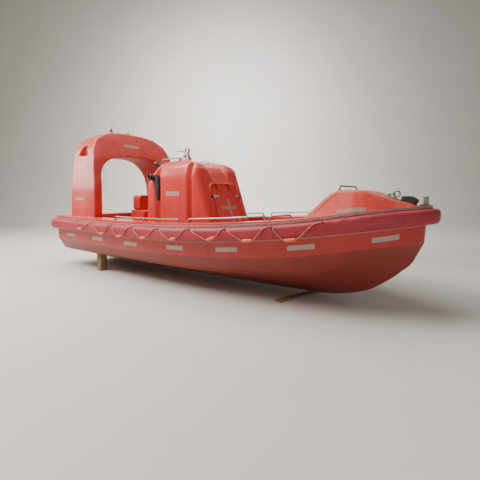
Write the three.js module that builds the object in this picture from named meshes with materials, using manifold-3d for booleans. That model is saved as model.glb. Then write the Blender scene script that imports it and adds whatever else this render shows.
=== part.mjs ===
// A fast rescue boat on timber blocks: an open, foam filled hull with a self-righting arch over the
// stern, a centre console with a lifting hook on top, a raised foredeck and a padded fender.
// Sizes are millimetres. X runs forward from the transom, Y to port, Z up from the ground. The boat is
// modelled from its transom, and the group then moves its origin to the middle of its length.
import * as THREE from "three";
import { mergeVertices } from "three/addons/utils/BufferGeometryUtils.js";
import Module from "manifold-3d";

const wasm = await Module();
wasm.setup();

// Driving dimensions
const GAP = 0.3; // between two pieces that touch
const RUNNING_GAP = 5; // round a piece that moves
const MIDSHIP_X = 2478; // where the hull is widest
const AFT_SHARE = 0.28; // share of the stations that lie aft of it
const STEM_PACKING = 1.6; // draws the stations together at the blunt stem
const HULL_STATIONS = 34;
const DECK_THICK = 44; // deck edge, from the hull's top to the deck
const DECK_OVERHANG = 40; // how far the deck edge stands outside the hull
const SOLE_Z = 550; // cockpit floor
const LINER_WALL = 16;
const SIDE_DECK = 270; // width of the side deck, hull side to cockpit
const WELL_AFT_X = 120;
const WELL_FORE_X = 4850;
const FENDER_DROP = 6; // top of the fender below the deck edge
const TUBE_R = 11; // stainless rails
const ROPE_R = 6;

// The hull's lines from the deck edge down. heights are [x, z] pairs along each line.
const HULL_LINES = {
  sheer: {
    beam: 1112, transomBeam: 1020, aft: 0, stem: 6010, fullness: 2.9, bluntness: 0.62,
    heights: [[0, 892], [1500, 886], [2400, 878], [3000, 882], [3400, 898], [4000, 929], [4400, 958],
      [4700, 982], [5020, 1019], [5380, 1074], [5700, 1119], [6010, 1148]],
  },
  knuckle: {
    beam: 1100, transomBeam: 1012, aft: 0, stem: 5985, fullness: 2.75, bluntness: 0.68,
    heights: [[0, 530], [600, 502], [1850, 490], [2960, 510], [3680, 540], [4100, 560], [4600, 600],
      [5020, 650], [5490, 725], [5985, 780]],
  },
  chine: {
    beam: 950, transomBeam: 940, aft: 0, stem: 5880, fullness: 2.2, bluntness: 0.85,
    heights: [[0, 338], [1500, 332], [3340, 332], [4050, 355], [4600, 375], [4970, 400], [5280, 450],
      [5470, 490], [5880, 560]],
  },
  keel: {
    beam: 0, transomBeam: 0, aft: 0, stem: 5880, fullness: 2, bluntness: 1,
    heights: [[0, 26], [2900, 18], [4830, 20], [5000, 38], [5170, 70], [5400, 140], [5610, 280],
      [5800, 440], [5880, 560]],
  },
};

// The transom from the side: upright to the knuckle, then cut forward down to the keel.
const TRANSOM_SIDE = [[0, 1400], [0, 530], [100, 338], [165, -100]];

// Fender section: [outward from the hull side, down from its top as a share of its height]
const FENDER_SECTION = [[-45, 0], [30, 0], [88, -0.08], [118, -0.26], [126, -0.5], [118, -0.74],
  [88, -0.92], [30, -1], [-45, -1]];
// The fender's lower edge: [x, z]
const FENDER_FOOT = [[0, 706], [1500, 712], [2400, 702], [3000, 710], [3400, 722], [3700, 741], [4000, 762],
  [4400, 797], [4700, 826], [5020, 863], [5380, 911], [5700, 957], [6010, 990]];
const FENDER_CORNER = 60; // radius of the fender's path at the transom corner
const FENDER_RETURN = 250; // length of the fender along the transom

// Self-righting arch
const ARCH_FOOT_Z = 910; // inside the deck edge, which trims the legs
const ARCH_SIDE = [[360, ARCH_FOOT_Z], [360, 1550, 300], [440, 1930, 200], [560, 2170, 150],
  [640, 2500, 60], [840, 2500, 60], [920, 2300, 300], [1040, 1960, 300], [1105, 1500, 300],
  [1105, ARCH_FOOT_Z]];
const ARCH_FRONT_HALF = [[955, 900], [935, 1400], [893, 1840, 400], [838, 2120, 200], [720, 2305, 200],
  [500, 2432, 300], [250, 2482, 200]];
const ARCH_TOP_Z = 2494;
// Opening through the arch: [x, half width, spring line, top, squareness]
const ARCH_OPENING = [[1160, 792, 1500, 2024, 3.3], [300, 758, 1280, 2040, 2.3]];
const ARCH_OPENING_STEPS = 14;

// Console
const HATCH_CENTRE = [3265, 0, 1100];
const HATCH_LEAN = THREE.MathUtils.degToRad(19);
const CONSOLE_FOOT_Z = 500; // inside the sole, which trims the console
const consoleFrontX = (z) => HATCH_CENTRE[0] - (z - HATCH_CENTRE[2]) * Math.tan(HATCH_LEAN);
const CONSOLE_SIDE = [[1936, CONSOLE_FOOT_Z], [1938, 860], [1962, 1510, 90], [2110, 1690, 60],
  [2200, 1822, 60], [2480, 1862, 100], [2740, 1852, 120], [2940, 1785, 90], [3060, 1670, 80],
  [consoleFrontX(1530), 1530, 60], [consoleFrontX(CONSOLE_FOOT_Z), CONSOLE_FOOT_Z]];
const CONSOLE_FRONT_HALF = [[560, CONSOLE_FOOT_Z], [548, 950], [516, 1600, 140], [452, 1802, 80],
  [350, 1860, 60], [225, 1862, 50], [120, 1800, 40]];
const CONSOLE_VALLEY_Z = 1794;
const CONSOLE_PLAN = [[1926, -600, 90], [3520, -480], [3520, 480], [1926, 600, 90]];
// The front face with its rounded edges, in the face's own frame: [across, out of the face, radius]
const CONSOLE_FACE = [[-515, -1800], [-515, 0, 120], [515, 0, 120], [515, -1800]];
// Grooves down both sides of the console: [from x, to x]. Each slopes in over the first part of its width.
const CONSOLE_GROOVES = [[2100, 2270], [2840, 2960]];
const GROOVE_SLOPE_SHARE = 0.65;
const GROOVE_MOUTH_HALF = [[572, 480], [534, 1560], [470, 1800], [400, 1900]]; // just outside the side
const GROOVE_FLOOR_HALF = [[462, 480], [456, 1560], [400, 1790], [392, 1900]];
const CONSOLE_ROOM_SIDE = [[2000, 480], [2000, 1400], [2080, 1500, 60], [2400, 1680, 60], [2900, 1680, 60],
  [3010, 1550, 60], [3280, 800], [3280, 480]];
const CONSOLE_ROOM_HALF = 440;

// Front hatch of the console: its size from the centre, its frame and its hinge line
const HATCH_HALF = 305;
const HATCH_BELOW = 345;
const HATCH_ABOVE = 368;
const HATCH_THICK = 24;
const HATCH_FRAME = 48;
const HATCH_CORNER = 90;
const HINGE_R = 10;
const HINGE_OUT = 28; // hinge line, out from the console face
const HINGE_UP = HATCH_ABOVE + RUNNING_GAP + 14;

// Seat, engine box and engine
const SEAT_HALF = 350;
const ENGINE_BOX_HALF = 380;
const ENGINE_BAY = { aft: 560, fore: 1220, half: 290, bottom: 235 };

// Foredeck trunk stations: [x, half breadth at the deck, half breadth of the top, top z]
const TRUNK_STATIONS = [[4880, 720, 690, 1075], [4940, 702, 610, 1160], [5010, 680, 510, 1262],
  [5080, 655, 430, 1335], [5140, 630, 400, 1356], [5340, 545, 370, 1360], [5430, 495, 345, 1348],
  [5560, 405, 290, 1300], [5720, 280, 190, 1238], [5860, 160, 90, 1212], [5905, 105, 50, 1204]];

// Water jet at the transom
const JET_Z = 300;
const JET_HOUSING_R = 112;
const JET_HOUSING_END_X = -40;
const NOZZLE_PIVOT_X = -130;
const NOZZLE_R = 85;
const NOZZLE_TIP_R = 62;
const NOZZLE_END_X = -260;
const JET_BORE_R = 46;
const BUCKET_PIVOT_X = -20;
const BUCKET_R = 265;
const BUCKET_HALF = 162;
const BUCKET_PLATE = 12;

// Steering wheel
const WHEEL_R = 190;
const WHEEL_CENTRE = [1838, 0, 1360];
const WHEEL_LEAN = THREE.MathUtils.degToRad(12);

// Timber blocks
const POST_X = 1070;
const POST_Y = 800;
const POST_SIZE = 120;
const SLEEPER_X = 4650;
const SLEEPER_LENGTH = 1260;
const SLEEPER_WIDTH = 95;
const SLEEPER_THICK = 19;
const SLEEPER_TURN = 15; // degrees, out of square with the keel

// Gunwale rails: [first x, last x, mid post x or null, height over the deck]
const GUNWALE_RAILS = [[1865, 3240, 2540, 52], [3420, 4500, 4190, 54], [4570, 4795, null, 50]];
const RAIL_INSET = 55; // rail line, inboard of the hull side

// Lifeline: the eyes on the fender's top edge, by x, and between them the floats as
// [x, depth of the aft end below the fender's top, depth of the fore end]
const LIFELINE_EYES = [980, 1470, 2012, 2496, 3034, 3572, 4086, 4626, 5128];
const LIFELINE_FLOATS = [[1146, 122, 117], [1780, 164, 141], [2225, 166, 154], [2758, 156, 135],
  [3323, 148, 126], [3913, 140, 107], [4371, 151, 151], [4828, 167, 165]];
const FLOAT_R = 19;
const FLOAT_LENGTH = 112;

const FINISHES = {
  gelcoat: { color: 0xd6452f, roughness: 0.28, metalness: 0 },
  fender_cover: { color: 0x9c2536, roughness: 0.5, metalness: 0 },
  stainless: { color: 0xc4c6c8, roughness: 0.25, metalness: 1 },
  white_paint: { color: 0xe8e4dc, roughness: 0.4, metalness: 0.1 },
  black_rubber: { color: 0x1d1c1e, roughness: 0.6, metalness: 0 },
  black_plastic: { color: 0x242225, roughness: 0.45, metalness: 0 },
  rope: { color: 0xb4483e, roughness: 0.9, metalness: 0 },
  grey_paint: { color: 0x8c8c88, roughness: 0.5, metalness: 0.3 },
  engine_paint: { color: 0x4c5a60, roughness: 0.5, metalness: 0.3 },
  cast_alloy: { color: 0x7b7d7e, roughness: 0.5, metalness: 0.8 },
  timber: { color: 0x8d7455, roughness: 0.9, metalness: 0 },
  clear_cap: { color: 0xe9ecee, roughness: 0.15, metalness: 0 },
};

// Solids

function solidFrom(positions, corners) {
  const mesh = (order) => new wasm.Mesh({ numProp: 3, vertProperties: positions, triVerts: order });
  const made = new wasm.Manifold(mesh(Uint32Array.from(corners)));
  return made.volume() < 0 ? new wasm.Manifold(mesh(Uint32Array.from(corners).reverse())) : made;
}

// A closed three.js geometry as a solid, with its faces turned outward.
function solidOf(geometry) {
  const bare = geometry.index ? geometry.toNonIndexed() : geometry.clone();
  bare.deleteAttribute("normal");
  bare.deleteAttribute("uv");
  const merged = mergeVertices(bare, 1e-3);
  const corners = [];
  for (let i = 0; i < merged.index.count; i += 3) {
    const [a, b, c] = [0, 1, 2].map((k) => merged.index.getX(i + k));
    if (a !== b && b !== c && c !== a) corners.push(a, b, c);
  }
  return solidFrom(merged.attributes.position.array, corners);
}

const joined = (solids) => solids.reduce((whole, solid) => whole.add(solid));
const moved = (solid, [x, y, z]) => solid.translate([x, y, z]);
const bothSides = (solid) => solid.add(solid.mirror([0, 1, 0]));

// The flat end of a loft, as triangles of ring points that keep the ring's own direction.
function capFaces(ring) {
  const area = new THREE.Vector3();
  ring.forEach((point, i) => area.add(point.clone().cross(ring[(i + 1) % ring.length])));
  const [drop] = ["x", "y", "z"].sort((a, b) => Math.abs(area[b]) - Math.abs(area[a]));
  if (Math.abs(area[drop]) < 1) return [];
  const [across, up] = ["x", "y", "z"].filter((axis) => axis !== drop);
  const flat = ring.map((point) => new THREE.Vector2(point[across], point[up]));
  const forward = Math.sign(THREE.ShapeUtils.area(flat));
  return THREE.ShapeUtils.triangulateShape(flat, []).map(([a, b, c]) => {
    const turn = Math.sign(THREE.ShapeUtils.area([flat[a], flat[b], flat[c]]));
    return turn === forward ? [a, b, c] : [a, c, b];
  });
}

// A closed solid through rings of points, each with as many points, in the same order.
function loft(rings) {
  const count = rings[0].length;
  const faces = [];
  for (let i = 0; i + 1 < rings.length; i += 1) {
    for (let j = 0; j < count; j += 1) {
      const a = i * count + j;
      const b = i * count + ((j + 1) % count);
      faces.push([a, b, b + count], [a, b + count, a + count]);
    }
  }
  const last = (rings.length - 1) * count;
  capFaces(rings[0]).forEach(([a, b, c]) => faces.push([a, c, b]));
  capFaces(rings.at(-1)).forEach(([a, b, c]) => faces.push([a + last, b + last, c + last]));
  const geometry = new THREE.BufferGeometry().setFromPoints(rings.flat());
  geometry.setIndex(faces.flat());
  return solidOf(geometry);
}

// An outline whose corners are rounded: each point is [a, b] or [a, b, radius].
function rounded(points, steps = 4) {
  const at = (i) => new THREE.Vector2(...points.at(i % points.length).slice(0, 2));
  return points.flatMap(([, , radius], i) => {
    const corner = at(i);
    if (!radius) return [corner.toArray()];
    const back = at(i - 1).sub(corner);
    const on = at(i + 1).sub(corner);
    const reach = radius * Math.tan((Math.PI - back.angleTo(on)) / 2);
    const start = corner.clone().add(back.setLength(Math.min(reach, back.length() * 0.49)));
    const end = corner.clone().add(on.setLength(Math.min(reach, on.length() * 0.49)));
    const bend = new THREE.QuadraticBezierCurve(start, corner, end);
    return bend.getPoints(steps).map((point) => point.toArray());
  });
}

// Both sides of a half outline given from its outer foot up to the centre line.
const mirrored = (half) => [...half, ...half.map(([a, ...rest]) => [-a, ...rest]).reverse()];

// Where an outline's two directions and its depth point, for a prism along each axis.
const PRISM_AXES = {
  x: [[0, 1, 0], [0, 0, 1], [1, 0, 0]],
  y: [[1, 0, 0], [0, 0, 1], [0, 1, 0]],
  z: [[1, 0, 0], [0, 1, 0], [0, 0, 1]],
};

// A prism of an outline, from low to high along one axis.
function prism(axis, outline, low, high) {
  const shape = new THREE.Shape(outline.map(([a, b]) => new THREE.Vector2(a, b)));
  const geometry = new THREE.ExtrudeGeometry(shape, { depth: high - low, bevelEnabled: false });
  const basis = PRISM_AXES[axis].map((direction) => new THREE.Vector3(...direction));
  geometry.translate(0, 0, low);
  return solidOf(geometry.applyMatrix4(new THREE.Matrix4().makeBasis(...basis)));
}

function block([x0, x1], [y0, y1], [z0, z1]) {
  const geometry = new THREE.BoxGeometry(x1 - x0, y1 - y0, z1 - z0);
  return solidOf(geometry.translate((x0 + x1) / 2, (y0 + y1) / 2, (z0 + z1) / 2));
}

// A round bar or cone from one point to another.
function rod(from, to, startRadius, endRadius = startRadius, sides = 16) {
  const start = new THREE.Vector3(...from);
  const along = new THREE.Vector3(...to).sub(start);
  const geometry = new THREE.CylinderGeometry(endRadius, startRadius, along.length(), sides);
  geometry.translate(0, along.length() / 2, 0);
  const turn = new THREE.Quaternion().setFromUnitVectors(new THREE.Vector3(0, 1, 0), along.normalize());
  return solidOf(geometry.applyQuaternion(turn).translate(...from));
}

// A path of straight runs, stepped at its own points so that a long run costs no extra faces.
class BentPath extends THREE.Curve {
  constructor(points) {
    super();
    this.points = points;
  }

  getPoint(share) {
    const place = share * (this.points.length - 1);
    const i = Math.min(Math.max(Math.floor(place), 0), this.points.length - 2);
    return this.points[i].clone().lerp(this.points[i + 1], place - i);
  }

  getUtoTmapping(share) {
    return share;
  }
}

// The points of a bent bar: straight runs joined by bends of one radius.
function bentPoints(corners, radius, steps = 4) {
  const points = corners.map((corner) => new THREE.Vector3(...corner));
  return points.flatMap((corner, i) => {
    if (i === 0 || i === points.length - 1) return [corner];
    const back = points[i - 1].clone().sub(corner);
    const on = points[i + 1].clone().sub(corner);
    const turn = Math.PI - back.angleTo(on);
    if (turn < 0.12) return [corner];
    const reach = Math.min(radius * Math.tan(turn / 2), back.length() * 0.49, on.length() * 0.49);
    const start = corner.clone().add(back.setLength(reach));
    const end = corner.clone().add(on.setLength(reach));
    return new THREE.QuadraticBezierCurve3(start, corner, end).getPoints(steps);
  });
}

function tube(points, radius, sides = 8) {
  const circle = Array.from({ length: sides }, (_, i) => {
    const angle = (i / sides) * 2 * Math.PI;
    return new THREE.Vector2(Math.cos(angle) * radius, Math.sin(angle) * radius);
  });
  const settings = { steps: points.length - 1, extrudePath: new BentPath(points) };
  return solidOf(new THREE.ExtrudeGeometry(new THREE.Shape(circle), settings));
}

const bentBar = (corners, radius, bend) => tube(bentPoints(corners, bend), radius);

// Hull form

// The height of a line at x: a smooth curve through its [x, z] pairs.
function heightAt(table, x) {
  const last = table.length - 1;
  if (x <= table[0][0]) return table[0][1];
  if (x >= table[last][0]) return table[last][1];
  const i = table.findIndex(([nextX]) => nextX > x) - 1;
  const slope = (k) => {
    const [ahead, behind] = [table[Math.min(k + 1, last)], table[Math.max(k - 1, 0)]];
    return (ahead[1] - behind[1]) / (ahead[0] - behind[0]);
  };
  const [[x0, z0], [x1, z1]] = [table[i], table[i + 1]];
  const span = x1 - x0;
  const t = (x - x0) / span;
  const rise = t * t * (3 - 2 * t);
  const ease = t * (1 - t);
  return z0 + (z1 - z0) * rise + span * ease * ((1 - t) * slope(i) - t * slope(i + 1));
}

function halfBreadth(line, x) {
  const { beam, transomBeam, aft, stem, fullness, bluntness } = line;
  if (x <= MIDSHIP_X) return beam - (beam - transomBeam) * ((MIDSHIP_X - x) / (MIDSHIP_X - aft)) ** 2;
  const t = Math.min((x - MIDSHIP_X) / (stem - MIDSHIP_X), 1);
  return beam * (1 - t ** fullness) ** bluntness;
}

// How far forward a line is at a share of the stations, from 0 at the transom to 1 at the stem.
function stationX(line, share) {
  if (share <= AFT_SHARE) return THREE.MathUtils.lerp(line.aft, MIDSHIP_X, share / AFT_SHARE);
  const t = (share - AFT_SHARE) / (1 - AFT_SHARE);
  return THREE.MathUtils.lerp(MIDSHIP_X, line.stem, 1 - (1 - t) ** STEM_PACKING);
}

const stationShares = Array.from({ length: HULL_STATIONS + 1 }, (_, i) => i / HULL_STATIONS);

// The hull, or the hull grown all round by a clearance.
function hullForm(grow = 0) {
  const { sheer, knuckle, chine, keel } = HULL_LINES;
  const rings = stationShares.map((share) => {
    const row = (line, side) => {
      const x = stationX(line, share);
      const out = share < 1 && side !== 0 ? halfBreadth(line, x) + 2 * grow : 0;
      const rise = line === sheer ? grow : -grow;
      return new THREE.Vector3(x + 2 * grow * share ** 4, side * out, heightAt(line.heights, x) + rise);
    };
    const port = [row(sheer, 1), row(knuckle, 1), row(chine, 1)];
    const starboard = [row(chine, -1), row(knuckle, -1), row(sheer, -1)];
    return [...port, row(keel, 0), ...starboard];
  });
  const behind = [[-500, -100], [-500, 1400], ...TRANSOM_SIDE].map(([x, z]) => [x - grow, z]);
  return loft(rings).subtract(prism("y", behind, -1400, 1400));
}

const sheerZ = (x) => heightAt(HULL_LINES.sheer.heights, x);
const deckZ = (x) => sheerZ(x) + DECK_THICK;

// A point of the sheer seen from above, moved outward from the hull side; side is 1 port, -1 starboard.
function sheerPoint(x, outward, side) {
  const step = 5;
  const slope = (halfBreadth(HULL_LINES.sheer, x + step) - halfBreadth(HULL_LINES.sheer, x - step))
    / (2 * step);
  const length = Math.hypot(slope, 1);
  const y = halfBreadth(HULL_LINES.sheer, x) + outward / length;
  return [x - (slope * outward) / length, side * y];
}

// The deck edge's slab over the whole boat; lift raises its top, for what must stand clear of it.
function deckSlab(lift = 0) {
  const rings = stationShares.map((share) => {
    const x = stationX(HULL_LINES.sheer, share);
    const atStem = share === 1;
    const hullY = atStem ? 0 : halfBreadth(HULL_LINES.sheer, x);
    const [edgeX, edgeY] = atStem ? [x + DECK_OVERHANG, 0] : sheerPoint(x, DECK_OVERHANG, 1);
    const [low, high] = [sheerZ(x) + GAP, deckZ(x) + lift];
    const port = [[x, hullY, low], [edgeX, edgeY, low], [edgeX, edgeY, high]];
    const starboard = port.map(([px, y, z]) => [px, -y, z]).reverse();
    return [...port, ...starboard].map((point) => new THREE.Vector3(...point));
  });
  const aft = rings[0].map(({ y, z }) => new THREE.Vector3(-DECK_OVERHANG, y, z));
  return loft([aft, ...rings]);
}

// The cockpit's outline seen from above, grown outward by a distance.
function wellOutline(grow) {
  const xs = [WELL_AFT_X, 900, 1700, 2500, 3200, 3700, 4100, 4400, 4650, WELL_FORE_X];
  const side = xs.map((x) => [x, halfBreadth(HULL_LINES.sheer, x) - SIDE_DECK + grow]);
  side[0] = [WELL_AFT_X - grow, side[0][1], 120];
  side[side.length - 1] = [WELL_FORE_X + grow, side.at(-1)[1], 120];
  const port = side.map(([x, y, ...radius]) => [x, y, ...radius]);
  const starboard = side.map(([x, y, ...radius]) => [x, -y, ...radius]).reverse();
  return rounded([...port, ...starboard]);
}

const WELL_TOP_Z = 1400; // anywhere above the deck

function makeHull() {
  const well = prism("z", wellOutline(LINER_WALL + GAP), SOLE_Z - LINER_WALL - GAP, WELL_TOP_Z);
  const { aft, fore, half, bottom } = ENGINE_BAY;
  const bay = block([aft, fore], [-half, half], [bottom, SOLE_Z]);
  return hullForm().subtract(well).subtract(bay);
}

function makeDeck() {
  const underDeck = moved(hullForm(), [0, 0, DECK_THICK / 2]);
  const tub = prism("z", wellOutline(LINER_WALL), SOLE_Z - LINER_WALL, WELL_TOP_Z).intersect(underDeck);
  const well = prism("z", wellOutline(0), SOLE_Z, WELL_TOP_Z);
  const { aft, fore, half } = ENGINE_BAY;
  const bay = block([aft, fore], [-half, half], [SOLE_Z - 100, SOLE_Z + 1]);
  return deckSlab().add(tub).subtract(well).subtract(bay);
}

// Fender

const fenderTop = (x) => sheerZ(x) - FENDER_DROP;
const fenderHeight = (x) => fenderTop(x) - heightAt(FENDER_FOOT, x);

// The fender's section at a point of the hull side; atX tells how high the fender is there.
function fenderRing([x, y], [nx, ny], atX) {
  const [top, height] = [fenderTop(atX), fenderHeight(atX)];
  return FENDER_SECTION.map(([out, down]) =>
    new THREE.Vector3(x + nx * out, y + ny * out, top + down * height));
}

function makeFender() {
  const corner = [FENDER_CORNER, HULL_LINES.sheer.transomBeam - FENDER_CORNER];
  const rings = [fenderRing([0, corner[1] - FENDER_RETURN], [-1, 0], 0)];
  for (const degrees of [180, 157, 135, 112]) {
    const angle = THREE.MathUtils.degToRad(degrees);
    const out = [Math.cos(angle), Math.sin(angle)];
    const path = [corner[0] + out[0] * FENDER_CORNER, corner[1] + out[1] * FENDER_CORNER];
    rings.push(fenderRing(path, out, 0));
  }
  stationShares.slice(1, -1).forEach((share) => {
    const x = stationX(HULL_LINES.sheer, share);
    const path = sheerPoint(x, 0, 1);
    const out = sheerPoint(x, 1, 1).map((value, i) => value - path[i]);
    rings.push(fenderRing(path, out, x));
  });
  const bow = fenderRing([HULL_LINES.sheer.stem, 0], [1, 0], HULL_LINES.sheer.stem);
  const other = rings.map((ring) => ring.map(({ x, y, z }) => new THREE.Vector3(x, -y, z))).reverse();
  return loft([...rings, bow, ...other]).subtract(hullForm(GAP));
}

// The fender's outline, the lower part straight down, for what hangs on it: [outward, share of its height]
const FENDER_FALL = new THREE.CatmullRomCurve3([[70, 0], [110, -0.08], [134, -0.28], [140, -0.5],
  [137, -0.84], [135, -1.4]].map(([out, down]) => new THREE.Vector3(out, down, 0)));

// A point clear of the fender by the rope's radius, at a depth below the fender's top.
function hangingPoint(x, depth, side) {
  const share = depth / fenderHeight(x);
  const { x: out } = FENDER_FALL.getPoints(60).find(({ y }) => -y >= share);
  return [...sheerPoint(x, out + ROPE_R, side), fenderTop(x) - depth];
}

const EYE_DEPTH = 10;
// The rope between an eye and a float's end: [share of the way from the eye, share of the drop]. It falls
// nearly straight from an eye, and on its way up it lies on the fender's top for the last part.
const ROPE_FALL = [[0, 0], [0.3, 0.36], [0.64, 0.7]];
const ROPE_RISE = [[0, 0], [0.34, 0.1], [0.6, 0.44]];

function makeLifeline(side) {
  const half = FLOAT_LENGTH / 2;
  const leg = (shape, eyeX, endX, depth) => shape.map(([along, down]) =>
    [eyeX + (endX - eyeX) * along, EYE_DEPTH + (depth - EYE_DEPTH) * down]);
  const spans = LIFELINE_FLOATS.flatMap(([floatX, aftDepth, foreDepth], i) => [
    ...leg(ROPE_FALL, LIFELINE_EYES[i], floatX - half, aftDepth),
    [floatX - half, aftDepth],
    [floatX + half, foreDepth],
    ...leg(ROPE_RISE, LIFELINE_EYES[i + 1], floatX + half, foreDepth).slice(1).reverse(),
  ]);
  const route = [...spans, [LIFELINE_EYES.at(-1), EYE_DEPTH]]
    .map(([x, depth]) => new THREE.Vector3(...hangingPoint(x, depth, side)));
  const floats = LIFELINE_FLOATS.map(([x, ...depths]) => {
    const ends = depths.map((depth, i) => {
      const [endX, endY, endZ] = hangingPoint(x + (i ? half : -half), depth, side);
      return [endX, endY + side * (FLOAT_R - ROPE_R), endZ];
    });
    return rod(ends[0], ends[1], FLOAT_R, FLOAT_R, 8);
  });
  const skin = moved(makeFender(), [0, side * GAP, GAP]);
  const eyes = LIFELINE_EYES.map((x) => {
    const outer = hangingPoint(x, EYE_DEPTH, side);
    const inner = [...sheerPoint(x, 10, side), outer[2] - 12];
    return rod(inner, outer, 10, 10, 6).subtract(skin);
  });
  return joined([tube(route, ROPE_R), ...floats, ...eyes]);
}

// Arch

function openingRing([x, half, spring, top, squareness]) {
  const arc = Array.from({ length: ARCH_OPENING_STEPS + 1 }, (_, i) => {
    const angle = (i / ARCH_OPENING_STEPS) * Math.PI;
    const power = 2 / squareness;
    const across = Math.sign(Math.cos(angle)) * Math.abs(Math.cos(angle)) ** power;
    return new THREE.Vector3(x, half * across, spring + (top - spring) * Math.sin(angle) ** power);
  });
  return [new THREE.Vector3(x, half, 800), ...arc, new THREE.Vector3(x, -half, 800)];
}

function makeArch() {
  const side = prism("y", rounded(ARCH_SIDE), -1000, 1000);
  const front = prism("x", rounded(mirrored([...ARCH_FRONT_HALF, [0, ARCH_TOP_Z]])), 300, 1200);
  const opening = loft(ARCH_OPENING.map(openingRing));
  // a moulded pocket for a side light: a flat floor and a back that slopes out to nothing
  const pocket = prism("x", [[-1000, 2008], [-800, 2008], [-868, 2140], [-1000, 2140]], 570, 830);
  return side.intersect(front).subtract(opening).subtract(bothSides(pocket)).subtract(deckSlab(GAP));
}

const onArch = (solid) => solid.subtract(moved(makeArch(), [0, 0, GAP]));

function makeArchLight() {
  const base = rod([650, -300, 2400], [650, -300, 2540], 60, 46);
  const lamp = rod([650, -300, 2539], [650, -300, 2632], 27, 18);
  return onArch(base.add(lamp));
}

const makeArchVent = () => onArch(rod([740, 0, 2440], [740, 0, 2530], 56, 42));

// Console

function consoleForm() {
  const side = prism("y", rounded(CONSOLE_SIDE), -600, 600);
  const acrossHalf = rounded(mirrored([...CONSOLE_FRONT_HALF, [0, CONSOLE_VALLEY_Z]]));
  const front = prism("x", acrossHalf, 1800, 3600);
  const plan = prism("z", rounded(CONSOLE_PLAN), 480, 1900);
  const face = onHatchPlane(prism("y", rounded(CONSOLE_FACE), -900, 1800));
  const grooveRing = (x, half) => [...half, [640, 1900], [640, 480]]
    .map(([y, z]) => new THREE.Vector3(x, y, z));
  const grooves = CONSOLE_GROOVES.map(([from, to]) => bothSides(loft([
    grooveRing(from, GROOVE_MOUTH_HALF),
    grooveRing(from + (to - from) * GROOVE_SLOPE_SHARE, GROOVE_FLOOR_HALF),
    grooveRing(to, GROOVE_FLOOR_HALF),
  ])));
  return side.intersect(front).intersect(plan).intersect(face).subtract(joined(grooves));
}

// From the hatch's own plane (across, up the slope, out of it) to the boat.
function hatchPlace() {
  const [lean, up] = [Math.sin(HATCH_LEAN), Math.cos(HATCH_LEAN)];
  const basis = [[0, 1, 0], [-lean, 0, up], [up, 0, lean]].map((axis) => new THREE.Vector3(...axis));
  return new THREE.Matrix4().makeBasis(...basis).setPosition(...HATCH_CENTRE);
}

const onHatchPlane = (solid) => solid.transform(hatchPlace().elements);

function hatchOutline(grow) {
  const [half, low, high] = [HATCH_HALF + grow, -HATCH_BELOW - grow, HATCH_ABOVE + grow];
  const corner = HATCH_CORNER + grow;
  return rounded([[-half, low, corner], [half, low, corner], [half, high, corner], [-half, high, corner]]);
}

// Hinge pieces: the lid's barrels turn between pairs of ears on the frame.
const HINGE_SIDES = [-150, 150];
const BARREL_HALF = 30;
const EAR = 10;
const LEVER_UP = 190; // the two latch levers, up the lid from its centre

function hingeEars() {
  return joined(HINGE_SIDES.flatMap((across) => [-1, 1].map((way) => {
    const inner = across + way * (BARREL_HALF + GAP);
    const [low, high] = [Math.min(inner, inner + way * EAR), Math.max(inner, inner + way * EAR)];
    const boss = rod([low, HINGE_UP, HINGE_OUT], [high, HINGE_UP, HINGE_OUT], HINGE_R);
    return boss.add(block([low, high], [HINGE_UP - HINGE_R, HINGE_UP + HINGE_R], [0, HINGE_OUT]));
  })));
}

function makeConsole() {
  const room = prism("y", rounded(CONSOLE_ROOM_SIDE), -CONSOLE_ROOM_HALF, CONSOLE_ROOM_HALF);
  const frame = prism("z", hatchOutline(HATCH_FRAME), -60, 12);
  const hole = prism("z", hatchOutline(RUNNING_GAP), -HATCH_THICK / 2 - RUNNING_GAP, 100);
  const doorway = prism("z", hatchOutline(-30), -400, 100);
  const opening = onHatchPlane(hole.add(doorway));
  const raised = consoleForm().add(onHatchPlane(frame)).subtract(opening).subtract(room);
  const belowSole = block([1800, 3600], [-700, 700], [400, SOLE_Z + GAP]);
  return raised.add(onHatchPlane(hingeEars())).subtract(belowSole);
}

function makeHatch() {
  const lid = prism("z", hatchOutline(0), -HATCH_THICK / 2, HATCH_THICK / 2);
  const hinges = joined(HINGE_SIDES.map((across) => {
    const [low, high] = [across - BARREL_HALF, across + BARREL_HALF];
    const barrel = rod([low, HINGE_UP, HINGE_OUT], [high, HINGE_UP, HINGE_OUT], HINGE_R);
    const strap = block([low, high], [HATCH_ABOVE - 60, HINGE_UP], [HINGE_OUT - 2, HINGE_OUT + 4]);
    const foot = block([low, high], [HATCH_ABOVE - 60, HATCH_ABOVE - 20], [0, HINGE_OUT]);
    return joined([barrel, strap, foot]);
  }));
  const levers = joined([-1, 1].map((way) => {
    const pivot = rod([way * 285, LEVER_UP, 0], [way * 285, LEVER_UP, 40], 14);
    const reach = [way * 298, way * 195].sort((a, b) => a - b);
    return pivot.add(block(reach, [LEVER_UP - 11, LEVER_UP + 11], [30, 42]));
  }));
  return onHatchPlane(joined([lid, hinges, levers]));
}

// A hoop of tube: a foot at each end and the level top in between.
function hoop(from, to, topZ, footZ, bend) {
  return bentBar([[...from, footZ], [...from, topZ], [...to, topZ], [...to, footZ]], TUBE_R, bend);
}

const onConsole = (solid) => [[0, 0, GAP], [-GAP, 0, 0], [GAP, 0, 0], [0, GAP, 0], [0, -GAP, 0]]
  .reduce((rest, by) => rest.subtract(moved(consoleForm(), by)), solid);

const makeConsoleRail = (side) =>
  onConsole(hoop([2140, side * 345], [2560, side * 345], 1896, 1790, 45));

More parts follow.
